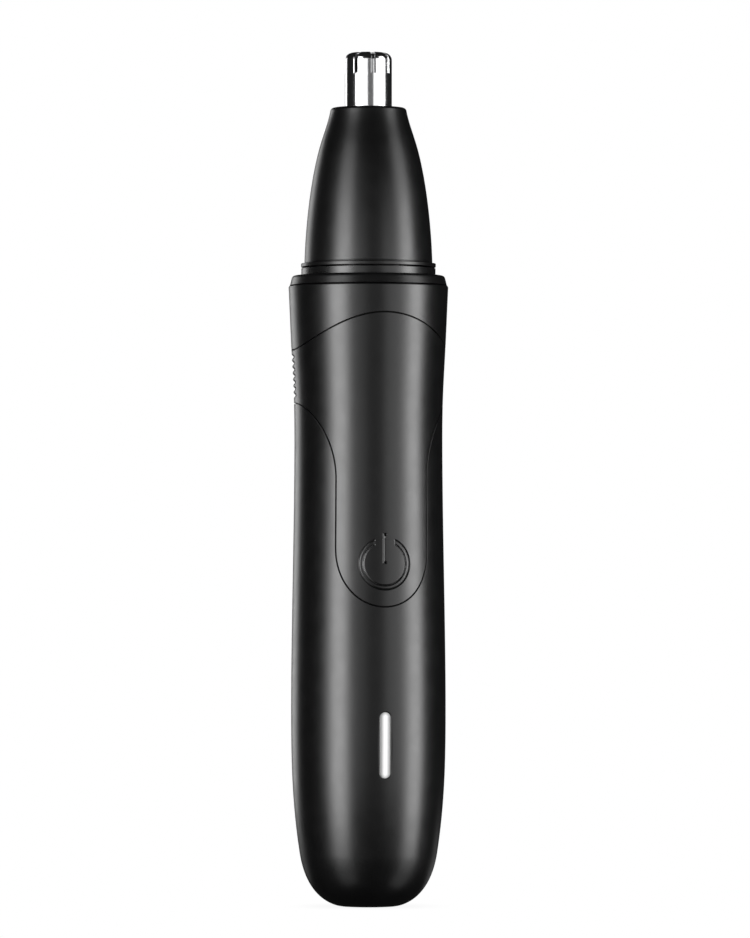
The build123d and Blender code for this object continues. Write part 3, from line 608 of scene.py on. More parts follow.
def lit_lens(name):
    """The diffuser over the white status lights: brightest down its middle, where the light shines through."""
    f = Finish(name, (0.1, 0.1, 0.1), 0.4)
    parts = f.node("SeparateXYZ", Vector=f.place)
    across = f.calculate("DIVIDE", parts.outputs[0], LIGHT_SPREAD * MM)
    core = f.calculate("EXPONENT", f.calculate("MULTIPLY", f.calculate("MULTIPLY", across, across), -1.0))
    from_middle = f.calculate("ABSOLUTE", f.calculate("SUBTRACT", parts.outputs[2], LIGHT_Z * MM))
    end = LIGHT_LENGTH / 2
    fade = dict(From_Min=(end - LIGHT_FADE) * MM, From_Max=end * MM, To_Min=1.0, To_Max=0.3)
    to_end = f.node("MapRange", Value=from_middle, **fade)
    f.links.new(f.calculate("MULTIPLY", core, to_end.outputs[0]), f.shader.inputs["Emission Strength"])
    f.shader.inputs["Emission Color"].default_value = (1, 1, 1, 1)
    f.tint(f.noise(0.6), (0.08, 0.08, 0.08), (0.11, 0.11, 0.11))
    f.bump(f.noise(0.15), 0.002)
    return f


BLACK = (0.0022, 0.0022, 0.0023)
FINISHES = {
    "body_plastic": moulded("body_plastic", BLACK, 0.3),
    "grip_rubber": soft_touch("grip_rubber", BLACK, 0.3),
    "button_plastic": moulded("button_plastic", BLACK, 0.3),
    "trim_gloss": moulded("trim_gloss", (0.003, 0.003, 0.0031), 0.3, grain_depth=0.0004),
    "head_plastic": moulded("head_plastic", BLACK, 0.32),
    "neck_plastic": moulded("neck_plastic", (0.004, 0.004, 0.0042), 0.28, edges=0.12),
    "cutter_steel": metal("cutter_steel", (0.78, 0.78, 0.79), 0.14, 0.04),
    "blade_steel": metal("blade_steel", (0.55, 0.55, 0.56), 0.22, 0.04, (1, 1, 0.2), 0.05),
    "lens_white": lit_lens("lens_white"),
    "drive_plastic": moulded("drive_plastic", (0.62, 0.61, 0.58), 0.42, edges=0.1),
    "chassis_plastic": moulded("chassis_plastic", (0.05, 0.05, 0.052), 0.5, 0.15, 0.003, edges=0.15),
    "seal_rubber": soft_touch("seal_rubber", (0.016, 0.016, 0.016), 0.55),
    "spring_steel": metal("spring_steel", (0.6, 0.6, 0.6), 0.18, 0.03, (1, 1, 1)),
    "motor_steel": metal("motor_steel", (0.5, 0.5, 0.49), 0.28, 0.05, (1, 1, 0.06), 0.1),
    "magnet_ferrite": moulded("magnet_ferrite", (0.03, 0.029, 0.028), 0.62, 0.3, 0.01, edges=0.1),
    "copper": enamelled("copper", (0.72, 0.28, 0.12)),
    "bronze": metal("bronze", (0.55, 0.38, 0.18), 0.3, 0.06, (1, 1, 0.3), 0.08),
    "board_green": board("board_green"),
    "chip_black": moulded("chip_black", (0.014, 0.014, 0.014), 0.45, 0.12, 0.004, edges=0.08),
    "contact_metal": metal("contact_metal", (0.7, 0.68, 0.62), 0.2, 0.05, (0.2, 1, 1), 0.04),
    "battery_wrap": shrink_wrap("battery_wrap"),
    "pad_foam": foam("pad_foam"),
    "lead_sleeve": moulded("lead_sleeve", (0.35, 0.02, 0.02), 0.4),
}
MATERIALS = {name: finish.material for name, finish in FINISHES.items()}
for subpart in frame["record"]["subparts"]:
    cad_materials = frame["nodes"][subpart["node"]].data.materials
    cad_materials.clear()
    cad_materials.append(MATERIALS[subpart["material_slot"]])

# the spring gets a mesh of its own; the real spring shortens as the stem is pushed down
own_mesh(frame["nodes"]["blade_spring"])


# ---------------------------------------------------------------- the power symbol and the light
def nearest(lines):
    """A function that gives each point's distance to the lines."""
    points = np.concatenate([even(line, 0.05) for line in lines])
    tree = KDTree(len(points))
    for i, (x, z) in enumerate(points):
        tree.insert((x, z, 0), i)
    tree.balance()
    return lambda x, z: np.array([tree.find((a, b, 0))[2] for a, b in zip(x, z)])


def open_circle(radius):
    opening = math.asin(RING_OPENING / radius)
    around = np.linspace(opening, TURN - opening, 200)
    return radius * np.stack([np.sin(around), np.cos(around)], axis=1)


SYMBOL_RINGS = [open_circle(RING_OUTER), open_circle(RING_INNER)]
TO_RINGS = nearest(SYMBOL_RINGS)
TO_ENDS = nearest([np.array([SYMBOL_RINGS[0][i], SYMBOL_RINGS[1][i]]) for i in (0, -1)])


def symbol_depth(x, z):
    """How deep the power symbol is engraved at front-view points, from the button's middle. The ring is two
    fine grooves joined at its open ends. The bar slopes gently down to a slit with a dot at each end."""
    grooves = GROOVE_DEPTH * np.clip(1 - TO_RINGS(x, z) / GROOVE_HALF, 0, 1)
    ends = SYMBOL_END_DEPTH * GROOVE_DEPTH * np.clip(1 - TO_ENDS(x, z) / GROOVE_HALF, 0, 1)
    across = np.interp(x, *np.transpose(POWER_BAR_SECTION))
    bottom, top = POWER_BAR
    along = np.clip(np.minimum(z - bottom, top - z) / POWER_BAR_END, 0, 1)
    engraved = np.maximum(grooves, ends)
    for z_dot in (bottom + SLIT_DOT_R, top - SLIT_DOT_R):
        from_dot = np.hypot(x - SLIT_X, z - z_dot) / SLIT_DOT_R
        engraved = np.maximum(engraved, SLIT_DOT_DEPTH * np.clip(SLIT_DOT_SLOPE * (1 - from_dot), 0, 1))
    return np.where(along > 0, np.maximum(across * along, engraved), engraved)


def power_bar_points():
    """Points on the bar's own creases, so that its slit stays crisp."""
    bottom, top = POWER_BAR
    ends = np.array([0, POWER_BAR_END / 2, POWER_BAR_END])
    zs = np.concatenate([bottom + ends, np.arange(bottom + 0.2, top - 0.15, 0.1), top - ends[::-1]])
    return grid(np.array([x for x, _ in POWER_BAR_SECTION]), zs)


def front_plane(points, z_middle, depth=0.0):
    """Puts front-view points (x, z from z_middle) on the body's outside, sunk straight back by depth."""
    x, z = points[:, 0], points[:, 1] + z_middle
    return np.stack([x, depth - np.sqrt(body_radius(z) ** 2 - x**2), z], axis=1)


def upright(points, y, z_middle):
    return np.stack([points[:, 0], np.full(len(points), y), points[:, 1] + z_middle], axis=1)


def power_button():
    """The button's face with its symbol, the flange behind it, and the nub that presses the switch."""
    edge = ring(BUTTON_R, 260)
    axis = np.arange(-BUTTON_R, BUTTON_R, BUTTON_STEP)
    loose = np.concatenate([grid(axis, axis), power_bar_points()])
    loose = loose[np.hypot(*loose.T) < BUTTON_R - 0.02]
    lines = [(edge, np.nan, True)]
    flat, _, triangles = flat_mesh(lines, loose, lambda p: np.hypot(*p.T) < BUTTON_R, BUTTON_STEP / 2)
    face = front_plane(flat, BUTTON_Z, symbol_depth(*flat.T))
    rim = front_plane(edge, BUTTON_Z, symbol_depth(*edge.T))
    nub_end = high("power_button")[1]
    flange_back = nub_end - NUB_HEIGHT
    flange_front = flange_back - BUTTON_FLANGE_THICKNESS
    rings = [rim, upright(edge, flange_front, BUTTON_Z)]
    for radius, y in [
        (BUTTON_FLANGE_R, flange_front),
        (BUTTON_FLANGE_R, flange_back),
        (NUB_R, flange_back),
        (NUB_R, nub_end),
    ]:
        rings.append(upright(edge * radius / BUTTON_R, y, BUTTON_Z))
    parts = [(face, triangles.tolist()), stack(rings)]
    piece("power_button_cap", parts, "button_plastic", "button", "power_button", body_normal)


def light_guide():
    """The light's lens: a bar with a soft edge, and the flange that holds it behind the wall."""
    half = LIGHT_LENGTH / 2 - LIGHT_HALF
    count = 120
    rows = [(0.0, 0.14), (0.02, 0.08), (0.07, 0.03), (0.14, 0.0)]  # set back from the edge, depth
    lines = [(ring(LIGHT_HALF - back, count, half), depth, True) for back, depth in rows]
    end = LIGHT_LENGTH / 2
    loose = grid(np.arange(-LIGHT_HALF, LIGHT_HALF, 0.12), np.arange(-end, end, 0.25))
    loose = loose[inside(lines[-1][0], loose)]
    flat, sunk, triangles = flat_mesh(lines, loose, lambda p: inside(lines[0][0], p), 0.05)
    sunk = np.where(np.isnan(sunk), 0, sunk)
    face = front_plane(flat, LIGHT_Z, sunk)
    flange_back = high("light_guide")[1]
    flange_front = flange_back - LIGHT_FLANGE_THICKNESS
    rings = [front_plane(lines[0][0], LIGHT_Z, rows[0][1])]
    for grow, y in [(0, flange_front), (LIGHT_FLANGE, flange_front), (LIGHT_FLANGE, flange_back)]:
        rings.append(upright(ring(LIGHT_HALF + grow, count, half), y, LIGHT_Z))
    parts = [(face, triangles.tolist()), stack(rings)]
    piece("status_light_lens", parts, "lens_white", "handle", "light_guide", body_normal)


# ---------------------------------------------------------------- the body and the grip band
def body_shell():
    """The whole outer skin, recessed under the grip band, with the button's hole and the light's slot through it."""
    lines = []
    for distance, depth in SHELL_EDGE:
        lines += [(offset(UPPER, distance), depth, False), (offset(LOWER, -distance), depth, False)]
    button_r = body_radius(BUTTON_Z)
    hole = from_front(ring(BUTTON_HOLE_R, 120) + (0, BUTTON_Z), button_r - RECESS)
    pocket = [from_front(ring(BUTTON_POCKET_R + d, 120) + (0, BUTTON_Z), button_r) for d in (0, 0.06)]
    half, edge_r = LIGHT_LENGTH / 2 - LIGHT_HALF, LIGHT_HALF + LIGHT_GAP
    slot_rows = [(0.0, 0.12), (0.03, 0.05), (0.08, 0.015), (0.15, 0.0)]
    light_r = body_radius(LIGHT_Z)
    slots = [from_front(ring(edge_r + d, 120, half) + (0, LIGHT_Z), light_r) for d, _ in slot_rows]
    lines += [(hole, RECESS, True)] + [(p, RECESS, True) for p in pocket]
    lines += [(line, depth, True) for line, (_, depth) in zip(slots, slot_rows)]
    columns = np.linspace(-PATTERN_HALF, PATTERN_HALF, COLUMNS + 1)
    bulge = 12
    rows = np.concatenate([np.linspace(FOOT_V, bulge, 34)[:-1], np.linspace(bulge, SIDE_TOP_V, 88)])
    recess = band_outline(-SHELL_EDGE[-1][0])
    keep = lambda p: ~(inside(hole, p) | inside(slots[0], p))
    flat, sunk, triangles = flat_mesh(lines, grid(columns, rows), keep, 0.3)
    loose = np.isnan(sunk)
    sunk[loose] = np.where(inside(recess, flat[loose]), RECESS, 0.0)
    lip = BODY_SIDE[-1][0] - BODY_LIP
    turns = np.radians([22, 45, 67, 90])
    arc = [(lip + BODY_LIP * math.cos(a), BODY_TOP - BODY_LIP * (1 - math.sin(a))) for a in turns]
    mouth = [(MOUTH_R + 0.12, BODY_TOP), (MOUTH_R + 0.04, BODY_TOP - 0.04), (MOUTH_R, BODY_TOP - 0.12)]
    rim = [turned_row(r, z) for r, z in arc + mouth + [(MOUTH_R, MOUTH_FLOOR)]]
    at_top = lambda p: p[:, 1] > SIDE_TOP_V - 1e-3
    left_open = lambda p: on_wrap(p) | (p[:, 1] < FOOT_V + 1e-3)
    wall = skin(flat, triangles, on_body(flat, sunk), in_cavity(flat), [(at_top, rim)], left_open)
    piece("body_skin", [wall, foot()], "body_plastic", "handle", "body_shell", body_normal)


def foot():
    """The flat underside with the charging port's opening, seen from below: its pattern is (x, -y)."""
    port = middle("usb_shell")
    half_width, radius = (high("usb_shell") - low("usb_shell"))[:2] / 2 + PORT_GAP
    rows = [(0.0, 0.15), (0.03, 0.07), (0.09, 0.02), (0.18, 0.0)]
    half = half_width - radius
    loops = [ring(radius + d, 96, half)[:, ::-1] * (1, -1) + port[:2] * (1, -1) for d, _ in rows]
    lines = [(loop, depth, True) for loop, (_, depth) in zip(loops, rows)]
    lines.append((ring(FOOT_DISC_R, COLUMNS, start=math.pi / 2), 0.0, True))
    polar = [ring(r, 96) for r in np.arange(0.4, FOOT_DISC_R - 0.2, 0.4)]
    flat, sunk, triangles = flat_mesh(lines, np.concatenate(polar), lambda p: ~inside(loops[0], p), 0.12)
    sunk = np.where(np.isnan(sunk), 0, sunk)
    x, y = flat[:, 0], -flat[:, 1]
    r = np.hypot(x, y)
    z = np.interp(r, FOOT_PROFILE[:, 1], FOOT_PROFILE[:, 2])
    wider = np.interp(r, [FOOT_DISC_R - 1, FOOT_DISC_R], [1, CAVITY_FLOOR_R / FOOT_DISC_R])
    inner = np.stack([x * wider, y * wider, np.full(len(flat), CAVITY_FLOOR)], axis=1)
    left_open = lambda p: np.hypot(*p.T) > FOOT_DISC_R - 1e-3
    return skin(flat, triangles, np.stack([x, y, z + sunk], axis=1), inner, left_open=left_open)


def rib_depth(flat):
    """The grip's ribs round its back: rounded valleys that fade out at the sides."""
    turn = np.abs(np.degrees(flat[:, 0] / PATTERN_R))
    phase = (flat[:, 1] - RIB_FIRST_VALLEY) / RIB_PITCH
    valley = (0.5 + 0.5 * np.cos(TURN * phase)) ** 1.3
    valley[(phase < -0.5) | (phase > RIB_COUNT - 1.5)] = 0
    return RIB_DEPTH * valley * smooth(*RIB_FADE, turn)


def grip_band():
    """The soft band in the body's recess, with its ribs, the button's hole and the top of the power symbol."""
    lines = []
    for distance, depth in BAND_EDGE:
        lines += [(offset(UPPER, -distance), depth, False), (offset(LOWER, distance), depth, False)]
    button_r = body_radius(BUTTON_Z)
    insets = 0, 0.06, 0.12, 0.18
    circles = [from_front(ring(BUTTON_HOLE_R + d, 260) + (0, BUTTON_Z), button_r) for d in insets]
    lines += [(circle, np.nan, True) for circle in circles]
    columns = np.linspace(-PATTERN_HALF, PATTERN_HALF, COLUMNS + 1)
    rows = np.arange(TONGUE_BOTTOM + 0.5, BAND_BACK_TOP + BAND_FRONT_RISE, 0.9)
    rib_low = RIB_FIRST_VALLEY - 0.6 * RIB_PITCH
    rib_high = RIB_FIRST_VALLEY + (RIB_COUNT - 1.4) * RIB_PITCH
    rib_start = math.radians(RIB_FADE[0] - 2) * PATTERN_R
    ribbed = lambda p: (np.abs(p[:, 0]) > rib_start) & (p[:, 1] > rib_low) & (p[:, 1] < rib_high)
    coarse, fine = grid(columns, rows), grid(columns, np.arange(rib_low, rib_high, RIB_PITCH / 12))
    axis = np.arange(-NEAR_BUTTON, NEAR_BUTTON, 0.08)
    front = np.concatenate([grid(axis, axis), power_bar_points()])
    front = front[(np.hypot(*front.T) > BUTTON_HOLE_R + 0.2) & (np.hypot(*front.T) < NEAR_BUTTON)]
    front = from_front(front + (0, BUTTON_Z), button_r)
    by_button = lambda p: np.hypot(p[:, 0], p[:, 1] - BUTTON_Z) < NEAR_BUTTON + 0.2
    coarse = coarse[~ribbed(coarse) & ~by_button(coarse)]
    outline = band_outline(BAND_EDGE[-1][0])
    wide_outline = band_outline(BAND_EDGE[0][0])
    loose = np.concatenate([coarse, fine[ribbed(fine)], front])
    loose = loose[inside(wide_outline, loose * (0.99999, 1))]
    keep = lambda p: inside(outline, p) & ~inside(circles[0], p)
    flat, sunk, triangles = flat_mesh(lines, loose, keep, 0.06)
    radius = np.interp(flat[:, 1], PROFILE[:, 0], PROFILE[:, 1])
    x, z = radius * np.sin(flat[:, 0] / PATTERN_R), flat[:, 1] - BUTTON_Z
    near = (np.hypot(x, z) < NEAR_BUTTON + 0.1) & (np.abs(flat[:, 0]) < PATTERN_HALF / 2)
    sunk = np.where(np.isnan(sunk), 0, sunk)
    sunk[near] = np.maximum(sunk[near], symbol_depth(x[near], z[near]))
    outer = on_body(flat, sunk + rib_depth(flat))
    wall = skin(flat, triangles, outer, on_body(flat, BAND_THICKNESS), left_open=on_wrap)
    piece("grip_skin", [wall], "grip_rubber", "handle", "grip_band", body_normal)


# ---------------------------------------------------------------- turned pieces
def rounded(corners):
    """An outline of (r, z) or (r, z, radius) corners, with the radiused ones rounded off."""
    points = []
    for i, corner in enumerate(corners):
        p = np.array(corner[:2], float)
        if len(corner) == 2:
            points.append(p)
            continue
        before, after = np.array(corners[i - 1][:2]), np.array(corners[(i + 1) % len(corners)][:2])
        start = p + (before - p) / np.linalg.norm(before - p) * corner[2]
        end = p + (after - p) / np.linalg.norm(after - p) * corner[2]
        for t in np.linspace(0, 1, 6):
            points.append(start * (1 - t) ** 2 + 2 * p * t * (1 - t) + end * t**2)
    return np.array(points)


SHARP_TURN = 32  # degrees
LONG_SIDE = 3  # a side this many times its neighbour's length stays flat


def outline_normals(outline):
    """The outward normal at the start and the end of each side of a counter-clockwise outline."""
    sides = np.roll(outline, -1, axis=0) - outline
    lengths = np.linalg.norm(sides, axis=1)
    flat = np.stack([sides[:, 1], -sides[:, 0]], axis=1) / lengths[:, None]
    starts, ends = flat.copy(), flat.copy()
    for i in range(len(outline)):
        a, b = i - 1, i
        if flat[a] @ flat[b] < math.cos(math.radians(SHARP_TURN)):
            continue
        if lengths[a] > LONG_SIDE * lengths[b]:
            shared = flat[a]
        elif lengths[b] > LONG_SIDE * lengths[a]:
            shared = flat[b]
        else:
            shared = (flat[a] + flat[b]) / np.linalg.norm(flat[a] + flat[b])
        ends[a] = starts[b] = shared
    return starts, ends


def lathe(name, outline, material, body, node, segments=256):
    """Turns a counter-clockwise outline of (r, z) round the axis into a closed solid."""
    phi = TURN * np.arange(segments) / segments
    out = np.stack([np.sin(phi), -np.cos(phi)], axis=1)
    count = len(outline)
    points = np.concatenate([np.column_stack([out * r, np.full(segments, z)]) for r, z in outline])
    starts, ends = outline_normals(outline)
    faces, normals = [], []
    for k in range(count):
        n = (k + 1) % count
        for j in range(segments):
            i = (j + 1) % segments
            faces.append((k * segments + j, k * segments + i, n * segments + i, n * segments + j))
            for side, turn in ((starts[k], j), (starts[k], i), (ends[k], i), (ends[k], j)):
                normals.append((out[turn, 0] * side[0], out[turn, 1] * side[0], side[1]))
    mesh = bpy.data.meshes.new(name)
    mesh.from_pydata((points * MM).tolist(), [], faces)
    mesh.polygons.foreach_set("use_smooth", [True] * len(faces))
    mesh.normals_split_custom_set(normals)
    add(name, mesh, material, body, node)


CONE_OUTLINE = [(10.2, 102.6), (9.71, 109.9), (8.57, 117.6), (7.64, 121.4), (6.1, 126.6)]
CONE_SLOPES = (-0.03, -0.2)
CONE_RIM = 0.6
CONE_FLANGE_HEIGHT = 0.6
CONE_GROOVE_R = 10.15
CONE_BORE_R = 3.77
RETAINER_SEAT = [(CONE_BORE_R, 118.1), (6.4, 118.1), (6.4, 114.5)]
NECK_SOCKET_R, NECK_SOCKET_TOP = 8.75, 109.5
COLLAR_SEAT_R = 10.6
COLLAR_DROP = 0.06


def head_cone():
    bottom, top = low("head_cone")[2], high("head_cone")[2]
    flange_r, flange_top = high("head_cone")[0], bottom + CONE_FLANGE_HEIGHT
    cone = spline(CONE_OUTLINE, CONE_SLOPES)[::12]
    rim_r = CONE_OUTLINE[-1][0] - CONE_RIM
    turn = np.linspace(0, math.pi / 2, 8)[1:]
    rim = np.stack([rim_r + CONE_RIM * np.cos(turn), top - CONE_RIM * (1 - np.sin(turn))], axis=1)
    below = rounded([
        (NECK_SOCKET_R, bottom, 0.15),
        (flange_r, bottom, 0.12),
        (flange_r, flange_top, 0.12),
        (CONE_GROOVE_R, flange_top),
        (CONE_GROOVE_R, CONE_OUTLINE[0][1] - 0.1),
    ])
    within = rounded([(CONE_BORE_R, top, 0.08), *RETAINER_SEAT, (NECK_SOCKET_R, NECK_SOCKET_TOP)])
    outline = np.concatenate([below, cone, rim, within])
    lathe("head_cover", outline, "head_plastic", "head", "head_cone")


def collar_ring():
    bottom, top = low("collar_ring")[2] - COLLAR_DROP, high("collar_ring")[2]
    outer = high("collar_ring")[0]
    handles = (outer - 0.42, top - 0.2), (outer - 0.6, top)
    corner = bezier((outer - 0.33, top - 0.62), *handles, (outer - 0.95, top), 10)
    outline = np.concatenate([
        rounded([(COLLAR_SEAT_R, bottom), (outer - 0.02, bottom, 0.1)]),
        corner,
        [(COLLAR_SEAT_R + 0.02, top), (COLLAR_SEAT_R, top - 0.02)],
    ])
    lathe("collar_trim", outline, "trim_gloss", "handle", "collar_ring")


# ---------------------------------------------------------------- the slotted steel cutter
CUTTER_R = 3.74
CUTTER_TOP = high("outer_cutter")[2]
CUTTER_BOTTOM = low("outer_cutter")[2]
CUTTER_WALL = 0.29
CUTTER_EDGE = 1.2
CUTTER_FLAT = CUTTER_R - CUTTER_EDGE
SLOT_COUNT = 8
SLOT_HALF = 0.35
SLOT_INNER = 1.3
SLOT_DEPTH = 3.4
EDGE_ARC = CUTTER_EDGE * math.pi / 2
SLOT_END = CUTTER_FLAT + EDGE_ARC + SLOT_DEPTH - CUTTER_EDGE
SLOT_ROWS = [(0.0, 0.05), (0.025, 0.015), (0.06, 0.0)]  # set back from the slot, depth
CUTTER_PATTERN_R = SLOT_END + 0.8
CUTTER_STRAIGHT_TOP = 127.4
CUTTER_FLANGE = 0.5


def cutter_profile(run, wall=0.0):
    """Radius and height at a distance run over the cutter's surface from its apex, sunk by a wall thickness."""
    turn = np.clip((run - CUTTER_FLAT) / CUTTER_EDGE, 0, math.pi / 2)
    r = np.minimum(run, CUTTER_FLAT) + (CUTTER_EDGE - wall) * np.sin(turn)
    z = CUTTER_TOP - CUTTER_EDGE + (CUTTER_EDGE - wall) * np.cos(turn)
    return r, z - np.maximum(run - CUTTER_FLAT - EDGE_ARC, 0)


def on_cutter(flat, depth=0.0):
    """Lays polar pattern points on the cutter's outside, sunk by depth."""
    run = np.hypot(*flat.T)
    angle = np.arctan2(flat[:, 1], flat[:, 0])
    r, z = cutter_profile(run, depth)
    return np.stack([r * np.cos(angle), r * np.sin(angle), z], axis=1)


def cutter_normal(points):
    """The outward normal of the cutter's tube, rounded edge and flat top at points."""
    x, y, z = points.T
    r = np.maximum(np.hypot(x, y), 1e-6)
    along, up = np.maximum(r - CUTTER_FLAT, 0), np.maximum(z - (CUTTER_TOP - CUTTER_EDGE), 0)
    size = np.maximum(np.hypot(along, up), 1e-6)
    along, up = np.where(size > 1e-5, along / size, 1), np.where(size > 1e-5, up / size, 0)
    return np.stack([along * x / r, along * y / r, up], axis=1)


def slot_outline(centre, grow):
    """One slot's outline on the cutter's flat pattern, which is polar: distance from the apex, angle."""
    run = np.linspace(SLOT_INNER - grow, SLOT_END + grow, 34)
    half = np.arcsin((SLOT_HALF + grow) / cutter_profile(run)[0])
    right = np.stack([run * np.cos(centre - half), run * np.sin(centre - half)], axis=1)
    left = np.stack([run * np.cos(centre + half), run * np.sin(centre + half)], axis=1)
    across = np.linspace(right[-1], left[-1], 5)[1:-1]
    back = np.linspace(left[0], right[0], 5)[1:-1]
    return np.concatenate([right, across, left[::-1], back])


def outer_cutter():
    """The cutter's slotted tube and flange. Its pattern is a disc, so the slots run over the rounded edge."""
    centres = [-math.pi / 2 + TURN * i / SLOT_COUNT for i in range(SLOT_COUNT)]
    lines = [(slot_outline(c, grow), depth, True) for c in centres for grow, depth in SLOT_ROWS]
    slots = [slot_outline(c, 0) for c in centres]
    wide = [slot_outline(c, SLOT_ROWS[-1][0]) for c in centres]
    last = CUTTER_PATTERN_R
    lines.append((ring(last, COLUMNS), 0.0, True))
    polar = [ring(r, max(16, 12 * round(16 * r / last))) for r in np.arange(0.25, last - 0.1, 0.2)]
    keep = lambda p: ~np.any([inside(slot, p) for slot in slots], axis=0)
    loose = np.concatenate(polar)
    loose = loose[~np.any([inside(slot, loose) for slot in wide], axis=0)]
    flat, sunk, triangles = flat_mesh(lines, loose, keep, 0.1)
    sunk = np.where(np.isnan(sunk), 0, sunk)
    at_end = lambda p: np.hypot(*p.T) > last - 1e-3
    flange_r, flange_top = high("outer_cutter")[0], CUTTER_BOTTOM + CUTTER_FLANGE
    inner_r = CUTTER_R - CUTTER_WALL

    def row(r, z):
        return lambda p: np.column_stack([p / np.hypot(*p.T)[:, None] * r, np.full(len(p), z)])

    levels = [
        (CUTTER_R, CUTTER_STRAIGHT_TOP),
        (CUTTER_R, flange_top),
        (flange_r, flange_top),
        (flange_r, CUTTER_BOTTOM),
        (inner_r, CUTTER_BOTTOM),
        (inner_r, CUTTER_STRAIGHT_TOP),
    ]
    rim = [row(r, z) for r, z in levels]
    wall = skin(flat, triangles, on_cutter(flat, sunk), on_cutter(flat, CUTTER_WALL), [(at_end, rim)])
    piece("slotted_cutter", [wall], "cutter_steel", "head", "outer_cutter", cutter_normal, 30)


power_button()
light_guide()
body_shell()
grip_band()
collar_ring()
head_cone()
outer_cutter()

# ---------------------------------------------------------------- the camera, in metres
CAMERA_TURN = math.radians(-12.7)
CAMERA_DISTANCE = 1.0
CAMERA_HEIGHT = 0.053
AIM_HEIGHT = 0.0696
AIM_RIGHT = 0.00105
VIEW_HEIGHT = 0.1495  # seen at the object's distance
SENSOR = 36


def direction(turn):
    """The level direction from the axis at an angle round it."""
    return Vector((math.sin(turn), -math.cos(turn), 0))


camera = bpy.data.objects.new("camera", bpy.data.cameras.new("camera"))
bpy.context.scene.collection.objects.link(camera)
right = Vector((math.cos(CAMERA_TURN), math.sin(CAMERA_TURN), 0)) * AIM_RIGHT
aim = right + Vector((0, 0, AIM_HEIGHT))
camera.location = right + direction(CAMERA_TURN) * CAMERA_DISTANCE + Vector((0, 0, CAMERA_HEIGHT))
camera.rotation_mode = "QUATERNION"
camera.rotation_quaternion = (aim - camera.location).to_track_quat("-Z", "Y")
camera.data.sensor_width = SENSOR
camera.data.lens = SENSOR * CAMERA_DISTANCE / VIEW_HEIGHT
camera.data.clip_start, camera.data.clip_end = 0.01, 20
bpy.context.scene.camera = camera

# ---------------------------------------------------------------- studio light
LIGHT_DISTANCE = 0.7
WORLD_GLOW = 0.012
STRIPS = {  # degrees to the right of the camera, half width in degrees, lowest, highest, radiance
    "key_left": (-45, 11, -0.17, 0.28, 7.4),
    "key_left_soft": (-47, 19, -0.17, 0.28, 2.8),
    "key_left_high": (-46, 15, 0.28, 0.62, 2.7),
    "key_left_low": (-46, 15, -0.42, -0.17, 1.3),
    "key_right": (73, 11, -0.17, 0.28, 6.4),
    "key_right_soft": (72, 18, -0.17, 0.28, 2.4),
    "key_right_high": (73, 15, 0.28, 0.62, 2.5),
    "key_right_low": (73, 15, -0.42, -0.17, 1.3),
    "key_left_floor": (-46, 18, -0.95, -0.45, 0.7),
    "key_right_floor": (73, 18, -0.95, -0.45, 0.7),
    "fill_left": (-19, 16, -0.1, 0.155, 0.9),
    "fill_left_cutter": (-19, 16, 0.155, 0.22, 1.7),
    "fill_left_high": (-19, 16, 0.22, 0.29, 0.9),
    "fill_middle": (12, 13, -0.1, 0.155, 0.3),
    "fill_middle_cutter": (12, 13, 0.155, 0.22, 0.12),
    "fill_middle_high": (12, 13, 0.22, 0.29, 0.28),
    "fill_right": (42, 17, -0.1, 0.29, 1.6),
    "rim_left": (-145, 12, -0.04, 0.3, 1.9),
    "back_left": (-145, 12, -0.2, -0.06, 0.25),
    "back_right": (150, 14, -0.2, -0.06, 0.25),
}
for name, (turn, half, bottom, top, radiance) in STRIPS.items():
    lamp = bpy.data.lights.new(name, "AREA")
    lamp.shape = "RECTANGLE"
    lamp.size, lamp.size_y = 2 * LIGHT_DISTANCE * math.tan(math.radians(half)), top - bottom
    lamp.energy = radiance * math.pi * lamp.size * lamp.size_y
    light = bpy.data.objects.new(name, lamp)
    bpy.context.scene.collection.objects.link(light)
    toward = direction(CAMERA_TURN + math.radians(turn))
    light.location = toward * LIGHT_DISTANCE + Vector((0, 0, (top + bottom) / 2))
    light.rotation_mode = "QUATERNION"
    light.rotation_quaternion = toward.to_track_quat("Z", "Y")
    light.visible_camera = False


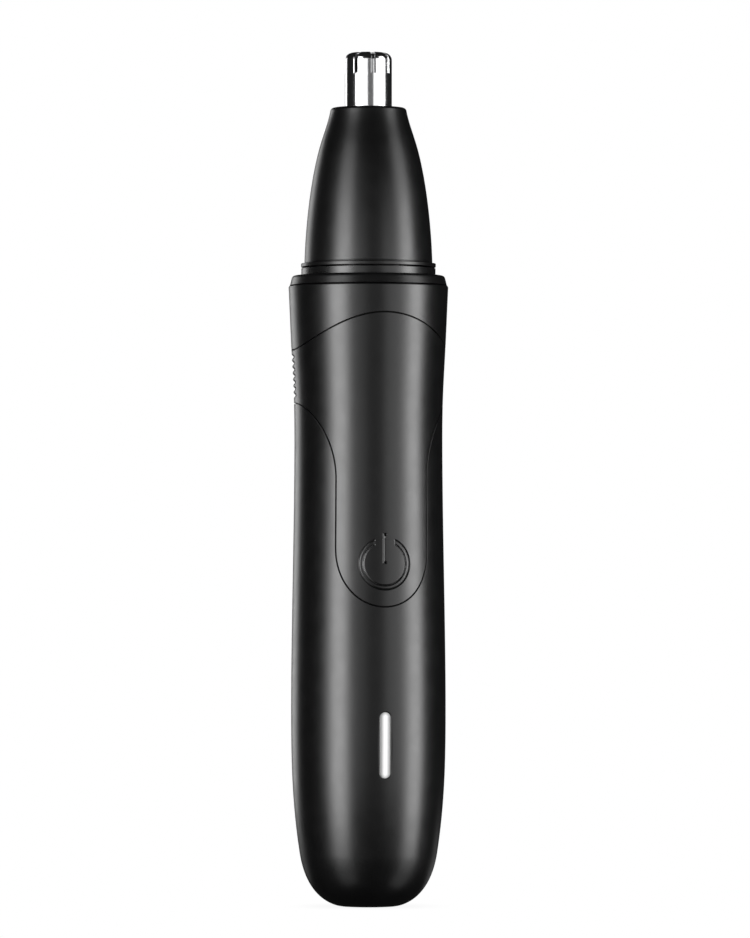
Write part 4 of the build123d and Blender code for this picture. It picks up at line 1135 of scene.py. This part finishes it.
def studio_world():
    """A background that is white to the camera and dim to the object."""
    world = bpy.data.worlds.new("studio")
    bpy.context.scene.world = world
    world.use_nodes = True
    nodes, links = world.node_tree.nodes, world.node_tree.links
    path = nodes.new("ShaderNodeLightPath")
    strength = nodes.new("ShaderNodeMapRange")
    strength.inputs["To Min"].default_value, strength.inputs["To Max"].default_value = WORLD_GLOW, 1.0
    links.new(path.outputs["Is Camera Ray"], strength.inputs["Value"])
    nodes["Background"].inputs["Color"].default_value = (1, 1, 1, 1)
    links.new(strength.outputs[0], nodes["Background"].inputs["Strength"])


FLOOR_HALF = 3.0
FLOOR_Z = -2e-5  # just under the foot, so that the two don't flicker
FLOOR_SHADE = {"From Min": 0.003, "From Max": 0.014, "To Min": 0.92, "To Max": 1.0}


def pale_floor():
    """A white floor with a faint shade where the foot stands. It can't be seen from below."""
    mesh = bpy.data.meshes.new("floor")
    corners = [(-1, -1), (1, -1), (1, 1), (-1, 1)]
    mesh.from_pydata([(FLOOR_HALF * x, FLOOR_HALF * y, FLOOR_Z) for x, y in corners], [], [(0, 1, 2, 3)])
    floor = bpy.data.objects.new("floor", mesh)
    bpy.context.scene.collection.objects.link(floor)
    material = bpy.data.materials.new("floor")
    material.use_nodes = True
    nodes, links = material.node_tree.nodes, material.node_tree.links
    nodes.clear()
    glow = nodes.new("ShaderNodeEmission")
    place = nodes.new("ShaderNodeTexCoord")
    distance = nodes.new("ShaderNodeVectorMath")
    distance.operation = "LENGTH"
    links.new(place.outputs["Object"], distance.inputs[0])
    contact = nodes.new("ShaderNodeMapRange")
    contact.interpolation_type = "SMOOTHSTEP"
    for key, value in FLOOR_SHADE.items():
        contact.inputs[key].default_value = value
    links.new(distance.outputs["Value"], contact.inputs["Value"])
    links.new(contact.outputs[0], glow.inputs["Strength"])
    side = nodes.new("ShaderNodeNewGeometry")
    see_through = nodes.new("ShaderNodeMixShader")
    links.new(side.outputs["Backfacing"], see_through.inputs[0])
    links.new(glow.outputs[0], see_through.inputs[1])
    links.new(nodes.new("ShaderNodeBsdfTransparent").outputs[0], see_through.inputs[2])
    links.new(see_through.outputs[0], nodes.new("ShaderNodeOutputMaterial").inputs["Surface"])
    mesh.materials.append(material)
    floor.visible_glossy = floor.visible_diffuse = floor.visible_shadow = floor.visible_transmission = False


studio_world()
pale_floor()
bpy.context.scene.view_settings.view_transform = "Standard"
